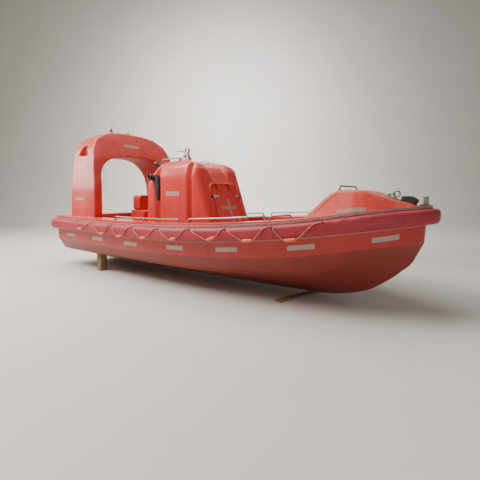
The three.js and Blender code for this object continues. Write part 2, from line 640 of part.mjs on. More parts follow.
function makeHookBracket() {
  const outline = rounded([[2190, 1760], [2450, 1760], [2436, 1930, 20], [2400, 2000, 20], [2310, 2000, 20],
    [2210, 1930, 20]]);
  const floor = block([2180, 2460], [-72, 72], [1760, 1812]);
  const pin = rod([2365, -40, 1968], [2365, 40, 1968], 12);
  return onConsole(joined([bothSides(prism("y", outline, 24, 36)), floor, pin]));
}

function makeHook() {
  const eye = rod([2365, -40, 1968], [2365, 40, 1968], 12 + GAP);
  const shank = block([2332, 2398], [-20, 20], [1930, 2022]).subtract(eye);
  const bill = new THREE.TorusGeometry(50, 20, 8, 20).rotateX(Math.PI / 2).translate(2365, 0, 2058);
  const lever = rod([2330, 0, 2050], [2130, 0, 2062], 8);
  return joined([shank, solidOf(bill), lever]);
}

function makeHelmPanel() {
  const slope = Math.atan2(180, 148);
  const outline = rounded([[-70, -250, 20], [70, -250, 20], [70, 250, 20], [-70, 250, 20]]);
  const panel = prism("z", outline, -10, 14);
  return onConsole(moved(panel.rotate([0, -THREE.MathUtils.radToDeg(slope), 0]), [2034, 0, 1600]));
}

// A small deck light on an arm at the console's aft edge, facing aft.
function makeDeckLight() {
  const arm = rod([2250, -380, 1800], [2070, -380, 1826], 11, 11, 10);
  const lamp = rod([2012, -380, 1834], [2076, -380, 1826], 36, 30);
  return onConsole(arm.add(lamp));
}

const makeThrottle = () => {
  const housing = block([1860, 1970], [-300, -220], [1380, 1470]);
  const lever = rod([1880, -260, 1460], [1850, -260, 1580], 9, 12);
  return onConsole(housing.add(lever));
};

// The wheel about its own axis, which the mesh then leans back.
function makeWheel() {
  const rim = new THREE.TorusGeometry(WHEEL_R, 13, 6, 26).rotateY(Math.PI / 2);
  const hub = rod([-20, 0, 0], [45, 0, 0], 38, 38);
  const spokes = [90, 210, 330].map((degrees) => {
    const angle = THREE.MathUtils.degToRad(degrees);
    const end = [0, Math.cos(angle) * WHEEL_R, Math.sin(angle) * WHEEL_R];
    return rod([0, 0, 0], end, 12, 10, 8);
  });
  return joined([solidOf(rim), hub, ...spokes]);
}

// The column's boss on the console, up to the wheel's hub.
function makeColumn() {
  const lean = new THREE.Vector3(Math.cos(WHEEL_LEAN), 0, -Math.sin(WHEEL_LEAN));
  const start = new THREE.Vector3(...WHEEL_CENTRE).addScaledVector(lean, 45 + GAP);
  const end = start.clone().addScaledVector(lean, 120);
  return onConsole(rod(start.toArray(), end.toArray(), 55, 62));
}

// An air cowl in the aft groove: a round bell facing outboard on a trunk that tapers down the groove.
const COWL_BELL = [2105, -600, 1598];
const COWL_BACK = [2150, -490, 1585];
const COWL_TRUNK = [[2165, 1640, 46], [2198, 1545, 60], [2212, 1420, 56], [2215, 1300, 40],
  [2212, 1215, 18]];
const COWL_TRUNK_Y = -505;

function makeCowl(side) {
  const bell = rod(COWL_BACK, COWL_BELL, 46, 57);
  const bore = rod(COWL_BELL.map((value, i) => value + (COWL_BACK[i] - value) * 0.5),
    COWL_BELL.map((value, i) => value - (COWL_BACK[i] - value) * 0.1), 38, 46);
  const trunk = loft(COWL_TRUNK.map(([x, z, half]) => Array.from({ length: 8 }, (_, i) => {
    const angle = ((i + 0.5) / 8) * 2 * Math.PI;
    return new THREE.Vector3(x + Math.cos(angle) * half, COWL_TRUNK_Y + Math.sin(angle) * half * 0.7, z);
  })));
  const starboard = onConsole(bell.add(trunk).subtract(bore));
  return side < 0 ? starboard : starboard.mirror([0, 1, 0]);
}

// Seat and engine

function softBlock([x0, x1], half, [z0, z1], radius) {
  const side = rounded([[x0, z0], [x1, z0], [x1, z1, radius], [x0, z1, radius]]);
  const plan = rounded([[x0, -half, radius], [x1, -half, radius], [x1, half, radius], [x0, half, radius]]);
  return prism("y", side, -half, half).intersect(prism("z", plan, z0, z1));
}

const makeSeatBase = () => softBlock([1280, 1660], SEAT_HALF, [SOLE_Z + GAP, 1050], 60);
const makeSeatBack = () => softBlock([1360, 1532], SEAT_HALF - 6, [1050 + GAP, 1312], 50);

function makeEngineBox() {
  const outer = softBlock([500, 1280 - GAP], ENGINE_BOX_HALF, [SOLE_Z + GAP, 850], 60);
  const inner = block([540, 1240], [-ENGINE_BOX_HALF + 40, ENGINE_BOX_HALF - 40], [400, 812]);
  return outer.subtract(inner);
}

function makeEngine() {
  const { aft, fore, half, bottom } = ENGINE_BAY;
  return block([aft + 10, fore - 10], [-half + 30, half - 30], [bottom + GAP, 790]);
}

// Foredeck

function trunkForm() {
  const rings = TRUNK_STATIONS.map(([x, base, top, topZ]) => {
    const baseZ = deckZ(x) - 25;
    const round = Math.min(34, (topZ - baseZ) * 0.4);
    const half = [[base, baseZ], [top + round * 0.55, topZ - round],
      [top + round * 0.05, topZ - round * 0.3], [top - round * 0.9, topZ],
      [top * 0.45, topZ + round * 0.15]];
    return mirrored(half).map(([y, z]) => new THREE.Vector3(x, y, z));
  });
  return loft(rings);
}

const makeTrunk = () => trunkForm().subtract(deckSlab(GAP));

const overTrunk = () => moved(trunkForm(), [0, 0, GAP]);

const makeTrunkRail = () => hoop([5135, -300], [5135, 300], 1410, 1320, 45).subtract(overTrunk());

// A shackle on the ring plate, whose bow passes through the ring.
const BOW_RING = { x: 5692, z: 1318, radius: 34, thick: 9 };
const SHACKLE_X = 5610;
const SHACKLE_R = 7;
const SHACKLE_HALF = 26;

function makeRingPlate() {
  const plate = block([5560, 5738], [-45, 45], [1200, 1312]).intersect(moved(trunkForm(), [0, 0, 12]));
  const z = BOW_RING.z;
  const pin = rod([SHACKLE_X, -SHACKLE_HALF, z], [SHACKLE_X, SHACKLE_HALF, z], 11, 11, 10);
  const legs = [-1, 1].map((way) => {
    const [low, high] = [way * 14, way * 26].sort((a, b) => a - b);
    return block([SHACKLE_X - 11, SHACKLE_X + 11], [low, high], [1240, z]);
  });
  const tip = BOW_RING.x - BOW_RING.radius + BOW_RING.thick + GAP + SHACKLE_R;
  const corners = [[SHACKLE_X, SHACKLE_HALF, z], [tip, SHACKLE_HALF, z], [tip, -SHACKLE_HALF, z],
    [SHACKLE_X, -SHACKLE_HALF, z]];
  return joined([plate, pin, ...legs, bentBar(corners, SHACKLE_R, 22)]).subtract(overTrunk());
}

function makeBowRing() {
  const { x, z, radius, thick } = BOW_RING;
  return solidOf(new THREE.TorusGeometry(radius, thick, 8, 24).rotateX(Math.PI / 2).translate(x, 0, z));
}

function makeBowPad() {
  const outline = rounded([[5744, 1150], [5750, 1292, 12], [5850, 1292, 30], [5915, 1262, 24],
    [5918, 1150]]);
  return prism("y", outline, -70, 70).subtract(overTrunk()).subtract(deckSlab(GAP));
}

const BOLLARD_X = 5990;

function makeBollard() {
  const post = rod([BOLLARD_X, 0, 1160], [BOLLARD_X, 0, 1288], 26, 26);
  const base = rod([BOLLARD_X, 0, 1160], [BOLLARD_X, 0, 1228], 40, 36);
  return post.add(base).subtract(deckSlab(GAP));
}

// Gunwale rails

function makeGunwaleRail([firstX, lastX, midX, height], side) {
  const count = Math.max(2, Math.round((lastX - firstX) / 350));
  const run = Array.from({ length: count + 1 }, (_, i) => firstX + ((lastX - firstX) * i) / count);
  const at = (x, z) => [...sheerPoint(x, -RAIL_INSET, side), z];
  const top = run.map((x) => at(x, deckZ(x) + height));
  const foot = (x, shift) => at(x + shift, deckZ(x) - 20); // inside the deck edge, which trims it
  const rail = bentBar([foot(firstX, -12), ...top, foot(lastX, 12)], TUBE_R, 40);
  const postR = TUBE_R - 2;
  const posts = midX ? [rod(foot(midX, 0), at(midX, deckZ(midX) + height), postR, postR, 8)] : [];
  return joined([rail, ...posts]).subtract(deckSlab(GAP));
}

// Water jet

function makeJetHousing() {
  const body = rod([220, 0, JET_Z], [JET_HOUSING_END_X, 0, JET_Z], JET_HOUSING_R + 12, JET_HOUSING_R, 24);
  const ears = [-1, 1].map((way) => {
    const [low, high] = [JET_Z + way * 92, JET_Z + way * 104].sort((a, b) => a - b);
    return block([NOZZLE_PIVOT_X - 24, 20], [-28, 28], [low, high]);
  });
  const pins = rod([BUCKET_PIVOT_X, -BUCKET_HALF + BUCKET_PLATE + GAP, JET_Z],
    [BUCKET_PIVOT_X, BUCKET_HALF - BUCKET_PLATE - GAP, JET_Z], 18);
  const bore = rod([60, 0, JET_Z], [-80, 0, JET_Z], JET_BORE_R, JET_BORE_R, 20);
  return joined([body, pins]).subtract(bore).add(joined(ears)).subtract(hullForm(GAP));
}

function makeNozzle() {
  const ball = new THREE.SphereGeometry(NOZZLE_R, 14, 10).translate(NOZZLE_PIVOT_X, 0, JET_Z);
  const cone = rod([NOZZLE_PIVOT_X, 0, JET_Z], [NOZZLE_END_X, 0, JET_Z], NOZZLE_R - 2, NOZZLE_TIP_R, 14);
  const bosses = rod([NOZZLE_PIVOT_X, 0, JET_Z - 92 + GAP], [NOZZLE_PIVOT_X, 0, JET_Z + 92 - GAP], 16);
  const bore = rod([0, 0, JET_Z], [NOZZLE_END_X - 40, 0, JET_Z], JET_BORE_R, JET_BORE_R, 14);
  return joined([solidOf(ball), cone, bosses]).subtract(bore);
}

// The reverse bucket, raised: a curved plate on two arms that turn on the housing's pins.
function makeBucket() {
  const arc = (radius, degrees) => {
    const angle = THREE.MathUtils.degToRad(degrees);
    return [BUCKET_PIVOT_X - Math.cos(angle) * radius, JET_Z + Math.sin(angle) * radius];
  };
  const sweep = [35, 46, 57, 68, 79, 90];
  const plate = [...sweep.map((degrees) => arc(BUCKET_R, degrees)),
    ...[...sweep].reverse().map((degrees) => arc(BUCKET_R + BUCKET_PLATE, degrees))];
  const arm = [[BUCKET_PIVOT_X + 26, JET_Z - 14], [BUCKET_PIVOT_X - 26, JET_Z - 20], arc(BUCKET_R + 2, 40),
    arc(BUCKET_R + 2, 84)];
  const arms = bothSides(prism("y", rounded(arm), BUCKET_HALF - BUCKET_PLATE, BUCKET_HALF));
  return prism("y", plate, -BUCKET_HALF, BUCKET_HALF).add(arms);
}

// Timber

function makePost(side) {
  const half = POST_SIZE / 2;
  const y = side * POST_Y;
  const post = block([POST_X - half, POST_X + half], [y - half, y + half], [0, 420]);
  const lowest = (solid) => solid.boundingBox().min[2];
  return post.subtract(hullForm(GAP)).decompose().sort((a, b) => lowest(a) - lowest(b))[0];
}

function makeSleeper() {
  const [length, width] = [SLEEPER_LENGTH / 2, SLEEPER_WIDTH / 2];
  const plank = block([-width, width], [-length, length], [0, SLEEPER_THICK]).rotate([0, 0, -SLEEPER_TURN]);
  return moved(plank, [SLEEPER_X, 0, 0]).subtract(hullForm(GAP));
}

// Scene graph

const lifeboat = new THREE.Group();
const boat = new THREE.Group();
lifeboat.add(boat);

function add(name, solid, finish) {
  const mesh = solid.getMesh();
  const geometry = new THREE.BufferGeometry();
  geometry.setAttribute("position", new THREE.BufferAttribute(mesh.vertProperties, 3));
  geometry.setIndex(new THREE.BufferAttribute(mesh.triVerts, 1));
  const flat = geometry.toNonIndexed();
  flat.computeVertexNormals();
  const piece = new THREE.Mesh(flat, new THREE.MeshStandardMaterial(FINISHES[finish]));
  piece.name = name;
  boat.add(piece);
  return piece;
}

add("hull", makeHull(), "gelcoat");
add("deck_liner", makeDeck(), "gelcoat");
add("fender", makeFender(), "fender_cover");
add("righting_arch", makeArch(), "gelcoat");
add("arch_light", makeArchLight(), "clear_cap");
add("arch_vent", makeArchVent(), "white_paint");
add("foredeck_trunk", makeTrunk(), "gelcoat");
add("console_body", makeConsole(), "gelcoat");
add("console_hatch", makeHatch(), "gelcoat");
add("hook_bracket", makeHookBracket(), "white_paint");
add("lifting_hook", makeHook(), "white_paint");
add("helm_panel", makeHelmPanel(), "black_plastic");
add("deck_light", makeDeckLight(), "black_plastic");
add("throttle", makeThrottle(), "black_plastic");
add("steering_column", makeColumn(), "black_plastic");
add("seat_base", makeSeatBase(), "gelcoat");
add("seat_back", makeSeatBack(), "gelcoat");
add("engine_box", makeEngineBox(), "gelcoat");
add("engine_block", makeEngine(), "engine_paint");
add("trunk_rail", makeTrunkRail(), "stainless");
add("bow_ring_plate", makeRingPlate(), "stainless");
add("bow_ring", makeBowRing(), "stainless");
add("bow_pad", makeBowPad(), "black_rubber");
add("bow_bollard", makeBollard(), "grey_paint");
add("jet_housing", makeJetHousing(), "cast_alloy");
add("jet_nozzle", makeNozzle(), "cast_alloy");
add("reverse_bucket", makeBucket(), "cast_alloy");
add("bow_sleeper", makeSleeper(), "timber");

const wheel = add("steering_wheel", makeWheel(), "black_rubber");
wheel.position.set(...WHEEL_CENTRE);
wheel.rotation.y = WHEEL_LEAN;

for (const [name, side] of [["port", 1], ["starboard", -1]]) {
  add("console_rail_" + name, makeConsoleRail(side), "stainless");
  add("air_cowl_" + name, makeCowl(side), "black_rubber");
  add("lifeline_" + name, makeLifeline(side), "rope");
  add("stern_post_" + name, makePost(side), "timber");
  GUNWALE_RAILS.forEach((rail, i) => {
    add(`gunwale_rail_${name}_${i + 1}`, makeGunwaleRail(rail, side), "stainless");
  });
}

// The middle of the length, from the jet nozzle's end to the fender's front, becomes x = 0.
const FENDER_FRONT_X = HULL_LINES.sheer.stem + Math.max(...FENDER_SECTION.map(([out]) => out));
boat.position.x = -(NOZZLE_END_X + FENDER_FRONT_X) / 2;

export default lifeboat;
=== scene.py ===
# %% [markdown]
# Open rescue lifeboat.
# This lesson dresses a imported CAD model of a 6 m open lifeboat on timber blocks. Each code cell makes a
# helper, a finish or a piece, and the text before it says what that is and why it is made this way.

import math
from collections import namedtuple

import bmesh
import bpy
import numpy as np
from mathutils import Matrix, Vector, noise
from mathutils.bvhtree import BVHTree


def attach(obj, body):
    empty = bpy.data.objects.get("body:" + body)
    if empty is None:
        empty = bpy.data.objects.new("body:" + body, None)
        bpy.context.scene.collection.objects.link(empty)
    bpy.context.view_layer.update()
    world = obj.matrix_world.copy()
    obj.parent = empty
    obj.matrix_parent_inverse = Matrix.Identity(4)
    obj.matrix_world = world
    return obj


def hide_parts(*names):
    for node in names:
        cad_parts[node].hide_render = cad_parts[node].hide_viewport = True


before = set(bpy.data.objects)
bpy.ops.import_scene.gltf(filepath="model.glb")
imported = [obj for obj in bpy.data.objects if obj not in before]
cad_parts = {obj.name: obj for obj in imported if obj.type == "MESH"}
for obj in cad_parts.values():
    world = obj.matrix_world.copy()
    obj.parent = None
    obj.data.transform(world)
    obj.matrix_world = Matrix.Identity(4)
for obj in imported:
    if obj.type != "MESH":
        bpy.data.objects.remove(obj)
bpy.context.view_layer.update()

# %% [markdown]
# The camera stands low off the starboard bow, a little above the rail, and looks aft along the boat. Its
# place, turn and lens come from a fit of known points, so that the render lies over the photograph.
# It comes first, because everything that follows is judged through it.

# %% Camera
CAMERA_PLACE = (3.636, -4.253, 1.288)
CAMERA_YAW = math.radians(36.037)
CAMERA_PITCH = math.radians(2.821)
LENS_MM, SENSOR_MM = 25.99, 36
LENS_SHIFT = -0.0552

camera = bpy.data.objects.new("lesson_camera", bpy.data.cameras.new("lesson_camera"))
bpy.context.scene.collection.objects.link(camera)
camera.location = CAMERA_PLACE
camera.rotation_euler = (math.pi / 2 - CAMERA_PITCH, 0, CAMERA_YAW)
camera.data.sensor_width = SENSOR_MM
camera.data.lens = LENS_MM
camera.data.shift_y = LENS_SHIFT
bpy.context.scene.camera = camera
print("camera lens:", round(camera.data.lens, 2), "mm")

# %% [markdown]
# Boat builders measure forward from the transom in millimetres, so this lesson does too: x runs forward
# from the transom, y to port and z up from the ground. One helper turns a list of such points into an
# object in metres, with its doubles merged and its faces outward. Smooth shading breaks at hard edges.

# %% From millimetres to pieces
MM = 0.001
AFT = 2.938  # metres from the transom to the model's origin
MERGE_WITHIN, THINNEST_EDGE = 2e-5, 1e-5  # metres


def place(point):
    return (point[0] * MM - AFT, point[1] * MM, point[2] * MM)


def new_object(name, mesh):
    obj = bpy.data.objects.new(name, mesh)
    bpy.context.scene.collection.objects.link(obj)
    return obj


def mesh_from(name, verts, faces, uvs=None):
    mesh = bpy.data.meshes.new(name)
    mesh.from_pydata([place(p) for p in verts], [], faces)
    if uvs is not None:
        layer = mesh.uv_layers.new(name="along")
        for polygon, corners in zip(mesh.polygons, uvs):
            for loop, uv in zip(polygon.loop_indices, corners):
                layer.data[loop].uv = uv
    return mesh


def clean(mesh, outward=True):
    bm = bmesh.new()
    bm.from_mesh(mesh)
    bmesh.ops.remove_doubles(bm, verts=bm.verts, dist=MERGE_WITHIN)
    bmesh.ops.dissolve_degenerate(bm, edges=bm.edges, dist=THINNEST_EDGE)
    if outward:
        bmesh.ops.recalc_face_normals(bm, faces=bm.faces)
    bm.to_mesh(mesh)
    bm.free()


def shade(mesh, hard_angle):
    mesh.shade_smooth()
    mesh.set_sharp_from_angle(angle=math.radians(hard_angle))


def settle(obj):
    """The modifiers' result becomes the object's own mesh."""
    graph = bpy.context.evaluated_depsgraph_get()
    made = bpy.data.meshes.new_from_object(obj.evaluated_get(graph))
    obj.modifiers.clear()
    obj.data = made
    return obj


def dress(obj, finish, slot, body="boat", hard_angle=40, stands_for=()):
    """The last step for each piece: its finish, its shading, the body it rides on and what it stands for."""
    obj.data.materials.clear()
    obj.data.materials.append(finish)
    shade(obj.data, hard_angle)
    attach(obj, body)
    if stands_for:
        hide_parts(*stands_for)
    print(obj.name, "faces:", len(obj.data.polygons))
    return obj


def piece(name, shape, finish, slot, body="boat", hard_angle=40, stands_for=()):
    mesh = mesh_from(name, *shape)
    clean(mesh)
    return dress(new_object(name, mesh), finish, slot, body, hard_angle, stands_for)


def other_side(shape):
    """The same shape mirrored to the other side of the boat."""
    verts, faces = shape
    return [(x, -y, z) for x, y, z in verts], [tuple(reversed(face)) for face in faces]


def together(shapes):
    """Several shapes as one."""
    verts, faces = [], []
    for more_verts, more_faces in shapes:
        start = len(verts)
        verts += list(more_verts)
        faces += [tuple(i + start for i in face) for face in more_faces]
    return verts, faces


def both_sides(shape):
    return together([shape, other_side(shape)])


print("the transom's foot, in metres:", place((0, 0, 0)))

# %% [markdown]
# Three ways to make a form cover most of this boat. A loft joins rings of points, which suits the hull, the
# fender and anything bent. A prism pushes an outline along one axis. Corners are rounded in the outline,
# before it gets its depth. The third way, a tube along a path, follows in a cell of its own.

# %% Lofts and prisms
AXES = {
    "x": ((0, 1, 0), (0, 0, 1), (1, 0, 0)),
    "y": ((1, 0, 0), (0, 0, 1), (0, 1, 0)),
    "z": ((1, 0, 0), (0, 1, 0), (0, 0, 1)),
}
CUT_SHARE = 0.49  # how much of an edge the rounding of one corner may take


def skin(rings, closed_ring=True, closed_run=False, caps=True):
    count = len(rings[0])
    verts = [tuple(p) for ring in rings for p in ring]
    faces = []
    runs = len(rings) if closed_run else len(rings) - 1
    steps = count if closed_ring else count - 1
    for i in range(runs):
        near, far = i * count, ((i + 1) % len(rings)) * count
        for j in range(steps):
            k = (j + 1) % count
            faces.append((near + j, near + k, far + k, far + j))
    if caps and closed_ring and not closed_run:
        faces.append(tuple(reversed(range(count))))
        faces.append(tuple(range((len(rings) - 1) * count, len(rings) * count)))
    return verts, faces


def corner_arc(start, corner, end, steps):
    """The points of the curve that rounds a corner between start and end."""
    shares = [k / steps for k in range(steps + 1)]
    return [start * (1 - t) ** 2 + corner * 2 * t * (1 - t) + end * t * t for t in shares]


def rounded(points, steps=10):
    """An outline of [a, b] or [a, b, radius] points with its corners rounded."""
    out = []
    for i, (a, b, *radius) in enumerate(points):
        if not radius:
            out.append((a, b))
            continue
        corner = Vector((a, b))
        back = Vector(points[i - 1][:2]) - corner
        on = Vector(points[(i + 1) % len(points)][:2]) - corner
        reach = radius[0] * math.tan((math.pi - back.angle(on)) / 2)
        start = corner + back.normalized() * min(reach, back.length * CUT_SHARE)
        end = corner + on.normalized() * min(reach, on.length * CUT_SHARE)
        out += [(p.x, p.y) for p in corner_arc(start, corner, end, steps)]
    return out


def prism(axis, outline, low, high):
    across, up, deep = (np.array(v, float) for v in AXES[axis])
    rings = [[tuple(across * a + up * b + deep * d) for a, b in outline] for d in (low, high)]
    return skin(rings)


def box_shape(x, y, z):
    return prism("z", [(x[0], y[0]), (x[1], y[0]), (x[1], y[1]), (x[0], y[1])], z[0], z[1])


unit_box = box_shape((0, 1), (0, 1), (0, 1))
print("a box as a prism has", len(unit_box[0]), "points and", len(unit_box[1]), "faces")

# %% [markdown]
# Rails, rope and pins are tubes. A path gets one bend radius at all its corners, and two directions across
# it are carried along, so that the tube never twists. Rings and lathe shapes are made of the same circles,
# set round an axis: that gives a true round form with as many sides as its size needs.

# %% Tubes, rings and lathe shapes
UP, DOWN = (0, 0, 1), (0, 0, -1)
STRAIGHT_ON = 0.05  # a turn in radians that needs no bend
DOME_ANGLES = (25, 50, 75)
CHAMFER_EASE = 0.3


def bent(corners, radius, steps=8):
    """A path through corners, each rounded with one bend radius."""
    points = [Vector(c) for c in corners]
    path = [points[0]]
    for before, corner, after in zip(points, points[1:], points[2:]):
        back, on = before - corner, after - corner
        turn = math.pi - back.angle(on)
        if turn < STRAIGHT_ON:
            path.append(corner)
            continue
        reach = min(radius * math.tan(turn / 2), back.length * CUT_SHARE, on.length * CUT_SHARE)
        start, end = corner + back.normalized() * reach, corner + on.normalized() * reach
        path += corner_arc(start, corner, end, steps)
    return path + [points[-1]]


def frames_along(path):
    """For each point of a path: the point and two directions across it, carried along without twist."""
    points = [Vector(p) for p in path]
    tangents = [(points[min(i + 1, len(points) - 1)] - points[max(i - 1, 0)]).normalized()
                for i in range(len(points))]
    helper = Vector((0, 0, 1)) if abs(tangents[0].z) < 0.9 else Vector((1, 0, 0))
    side = tangents[0].cross(helper).normalized()
    found = []
    for point, tangent in zip(points, tangents):
        side = (side - tangent * side.dot(tangent)).normalized()
        found.append((point, side, tangent.cross(side)))
    return found


def circle(middle, u, v, radius, sides):
    """A ring of points round middle, in the plane of the directions u and v."""
    turns = [2 * math.pi * k / sides for k in range(sides)]
    return [tuple(middle + u * (math.cos(a) * radius) + v * (math.sin(a) * radius)) for a in turns]


def square_to(direction):
    """A direction and two more at right angles to it, each of length one."""
    n = Vector(direction).normalized()
    u = n.orthogonal().normalized()
    return n, u, n.cross(u)


def tube(path, radius, sides=16, end_round=0.0):
    """A tube along a path. radius is one number or one for each point; end_round closes it with a dome."""
    frames = frames_along(path)
    radii = [radius] * len(frames) if isinstance(radius, (int, float)) else list(radius)
    rings = [circle(point, side, up, r, sides) for (point, side, up), r in zip(frames, radii)]
    if end_round:
        for end in (0, -1):
            point, side, up = frames[end]
            inner = frames[1 if end == 0 else -2][0]
            out = (point - inner).normalized()
            domes = []
            for angle in map(math.radians, DOME_ANGLES):
                lift = out * math.sin(angle) * end_round
                domes.append(circle(point + lift, side, up, math.cos(angle) * radii[end], sides))
            rings = list(reversed(domes)) + rings if end == 0 else rings + domes
    return skin(rings)


def rod(start, end, radius, end_radius=None, sides=24, edge=0.0):
    """A round bar, its end edges broken by a small chamfer."""
    a, b = Vector(start), Vector(end)
    along = (b - a).normalized()
    tip = radius if end_radius is None else end_radius
    if not edge:
        return tube([a, b], [radius, tip], sides)
    small = edge * CHAMFER_EASE
    path = [a, a + along * edge * CHAMFER_EASE, a + along * edge,
            b - along * edge, b - along * edge * CHAMFER_EASE, b]
    return tube(path, [radius - edge, radius - small, radius, tip, tip - small, tip - edge], sides)


def ring_shape(centre, normal, radius, thick, around=40, sides=14):
    """A ring of round bar."""
    n, u, v = square_to(normal)
    rings = []
    for i in range(around):
        a = 2 * math.pi * i / around
        out = u * math.cos(a) + v * math.sin(a)
        rings.append(circle(Vector(centre) + out * radius, out, n, thick, sides))
    return skin(rings, closed_run=True)


def turned(start, direction, profile, sides=32):
    """A lathe shape: profile is [distance along the axis, radius] pairs, closed at both ends."""
    n, u, v = square_to(direction)
    return skin([circle(Vector(start) + n * along, u, v, radius, sides) for along, radius in profile])


print("a plain rod has", len(rod((0, 0, 0), (0, 0, 1), 1)[1]), "faces")

# %% [markdown]
# Moulded forms such as the arch and the console are carved: prisms are crossed and cut with booleans, then
# the result is rebuilt from small voxels and relaxed a little, which gives every edge the soft radius
# that a laminate gets from its mould. Where the voxels stay small, the form keeps its flats.

# %% Carving and softening
MOULDED_EDGE = 60  # degrees, so that nothing on a softened form is shaded sharp


def rough(shape):
    mesh = mesh_from("rough", *shape)
    clean(mesh)
    return new_object("rough", mesh)


def carved(base, steps):
    """An object with each (operation, cutting shape) of steps applied in turn."""
    for operation, cutting in steps:
        cutter = rough(cutting)
        modifier = base.modifiers.new("carve", "BOOLEAN")
        modifier.operation = operation
        modifier.solver = "EXACT"
        modifier.object = cutter
        settle(base)
        bpy.data.objects.remove(cutter)
    return base


def soften(obj, voxel_mm, rounds):
    remesh = obj.modifiers.new("rebuild", "REMESH")
    remesh.mode = "VOXEL"
    remesh.voxel_size = voxel_mm * MM
    relax = obj.modifiers.new("relax", "SMOOTH")
    relax.factor = 0.5
    relax.iterations = rounds
    return settle(obj)


def moulded(name, obj, voxel_mm, rounds, finish, slot, stands_for):
    """A carved form, softened, named and dressed."""
    soften(obj, voxel_mm, rounds)
    obj.name = name
    return dress(obj, finish, slot, hard_angle=MOULDED_EDGE, stands_for=(stands_for,))


def walled(obj, thick_mm):
    """An open shell with the thickness of its wall, which grows inward."""
    wall = obj.modifiers.new("wall", "SOLIDIFY")
    wall.thickness = thick_mm * MM
    wall.offset = -1
    return settle(obj)


print("edges of moulded forms are shaded sharp from", MOULDED_EDGE, "degrees")

# %% [markdown]
# The small hard parts already have their form in the solids, so they are copies with bevelled edges. An edge
# that is really sharp looks drawn, and a bevel of a few millimetres catches the light as metal does.

# %% Copies of the solids
FLAT_WITHIN, BEVEL_FROM = math.radians(1), math.radians(32)


def trimmed_copy(name, node, finish, slot, bevel_mm, segments=2, body="boat"):
    """A copy of a solid with its loose triangles merged, its flats joined and its edges bevelled."""
    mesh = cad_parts[node].data.copy()
    bm = bmesh.new()
    bm.from_mesh(mesh)
    bmesh.ops.remove_doubles(bm, verts=bm.verts, dist=MERGE_WITHIN)
    bmesh.ops.dissolve_limit(bm, angle_limit=FLAT_WITHIN, verts=bm.verts, edges=bm.edges)
    bm.to_mesh(mesh)
    bm.free()
    obj = new_object(name, mesh)
    bevel = obj.modifiers.new("edges", "BEVEL")
    bevel.width = bevel_mm * MM
    bevel.segments = segments
    bevel.limit_method = "ANGLE"
    bevel.angle_limit = BEVEL_FROM
    return dress(settle(obj), finish, slot, body, stands_for=(node,))


print("edges of copies are bevelled from", round(math.degrees(BEVEL_FROM)), "degrees")

# %% [markdown]
# Paint, laminate and metal all get marks from the same causes, so the marks are made once as node groups:
# sun-bleached patches with painted light from above on what faces up, stains that run down, and a fine grain.
# Each group reads Object coordinates, gives masks and heights only, and has its own sliders. The shader stays
# in each material.

# %% Shared marks as node groups
def group_tree(name, inputs, outputs):
    tree = bpy.data.node_groups.new(name, "ShaderNodeTree")
    for label, value in inputs:
        socket = tree.interface.new_socket(label, in_out="INPUT", socket_type="NodeSocketFloat")
        socket.default_value = value
    for label in outputs:
        tree.interface.new_socket(label, in_out="OUTPUT", socket_type="NodeSocketFloat")
    return tree, tree.nodes.new("NodeGroupInput"), tree.nodes.new("NodeGroupOutput")


def add_node(tree, kind, inputs=(), **settings):
    node = tree.nodes.new(kind)
    for key, value in settings.items():
        setattr(node, key, value)
    for key, value in dict(inputs).items():
        if isinstance(value, bpy.types.NodeSocket):
            tree.links.new(value, node.inputs[key])
        else:
            node.inputs[key].default_value = value
    return node


def math_node(tree, operation, a, b=0.0, clamp=False):
    return add_node(tree, "ShaderNodeMath", {0: a, 1: b}, operation=operation, use_clamp=clamp).outputs[0]


def ramp(tree, value, low, high, to_low=0.0, to_high=1.0):
    inputs = {"Value": value, "From Min": low, "From Max": high, "To Min": to_low, "To Max": to_high}
    return add_node(tree, "ShaderNodeMapRange", inputs).outputs["Result"]


def make_weather():
    """First mask: sun-bleached chalky patches, plus painted light that makes what faces up paler. Stain: dirt
    that runs down. Grain: fine relief.
    """
    tree, given, out = group_tree(
        "weather", [("Patch Size", 2.0), ("Run Width", 14.0), ("Grain Size", 300.0)],
        ["Fade", "Stain", "Grain"])
    where = add_node(tree, "ShaderNodeTexCoord")
    spot = where.outputs["Object"]
    patches = add_node(tree, "ShaderNodeTexNoise",
                       {"Vector": spot, "Scale": given.outputs["Patch Size"], "Detail": 5.0,
                        "Roughness": 0.62})
    up = add_node(tree, "ShaderNodeSeparateXYZ", {0: where.outputs["Normal"]}).outputs["Z"]
    # painted light: what faces up is made paler, as if lit from above
    facing = math_node(tree, "MULTIPLY", ramp(tree, up, -0.1, 0.9), 0.5)
    patch = ramp(tree, patches.outputs["Fac"], 0.42, 0.68)
    fade_and_top_light = math_node(tree, "ADD", math_node(tree, "MULTIPLY", patch, 0.55), facing, clamp=True)
    stretch = add_node(tree, "ShaderNodeMapping", {"Vector": spot, "Scale": (1.0, 1.0, 0.09)})
    runs = add_node(tree, "ShaderNodeTexNoise",
                    {"Vector": stretch.outputs[0], "Scale": given.outputs["Run Width"], "Detail": 4.0})
    stain = ramp(tree, runs.outputs["Fac"], 0.56, 0.78)
    grain = add_node(tree, "ShaderNodeTexNoise",
                     {"Vector": spot, "Scale": given.outputs["Grain Size"], "Detail": 3.0})
    for label, socket in (("Fade", fade_and_top_light), ("Stain", stain), ("Grain", grain.outputs["Fac"])):
        tree.links.new(socket, out.inputs[label])
    return tree


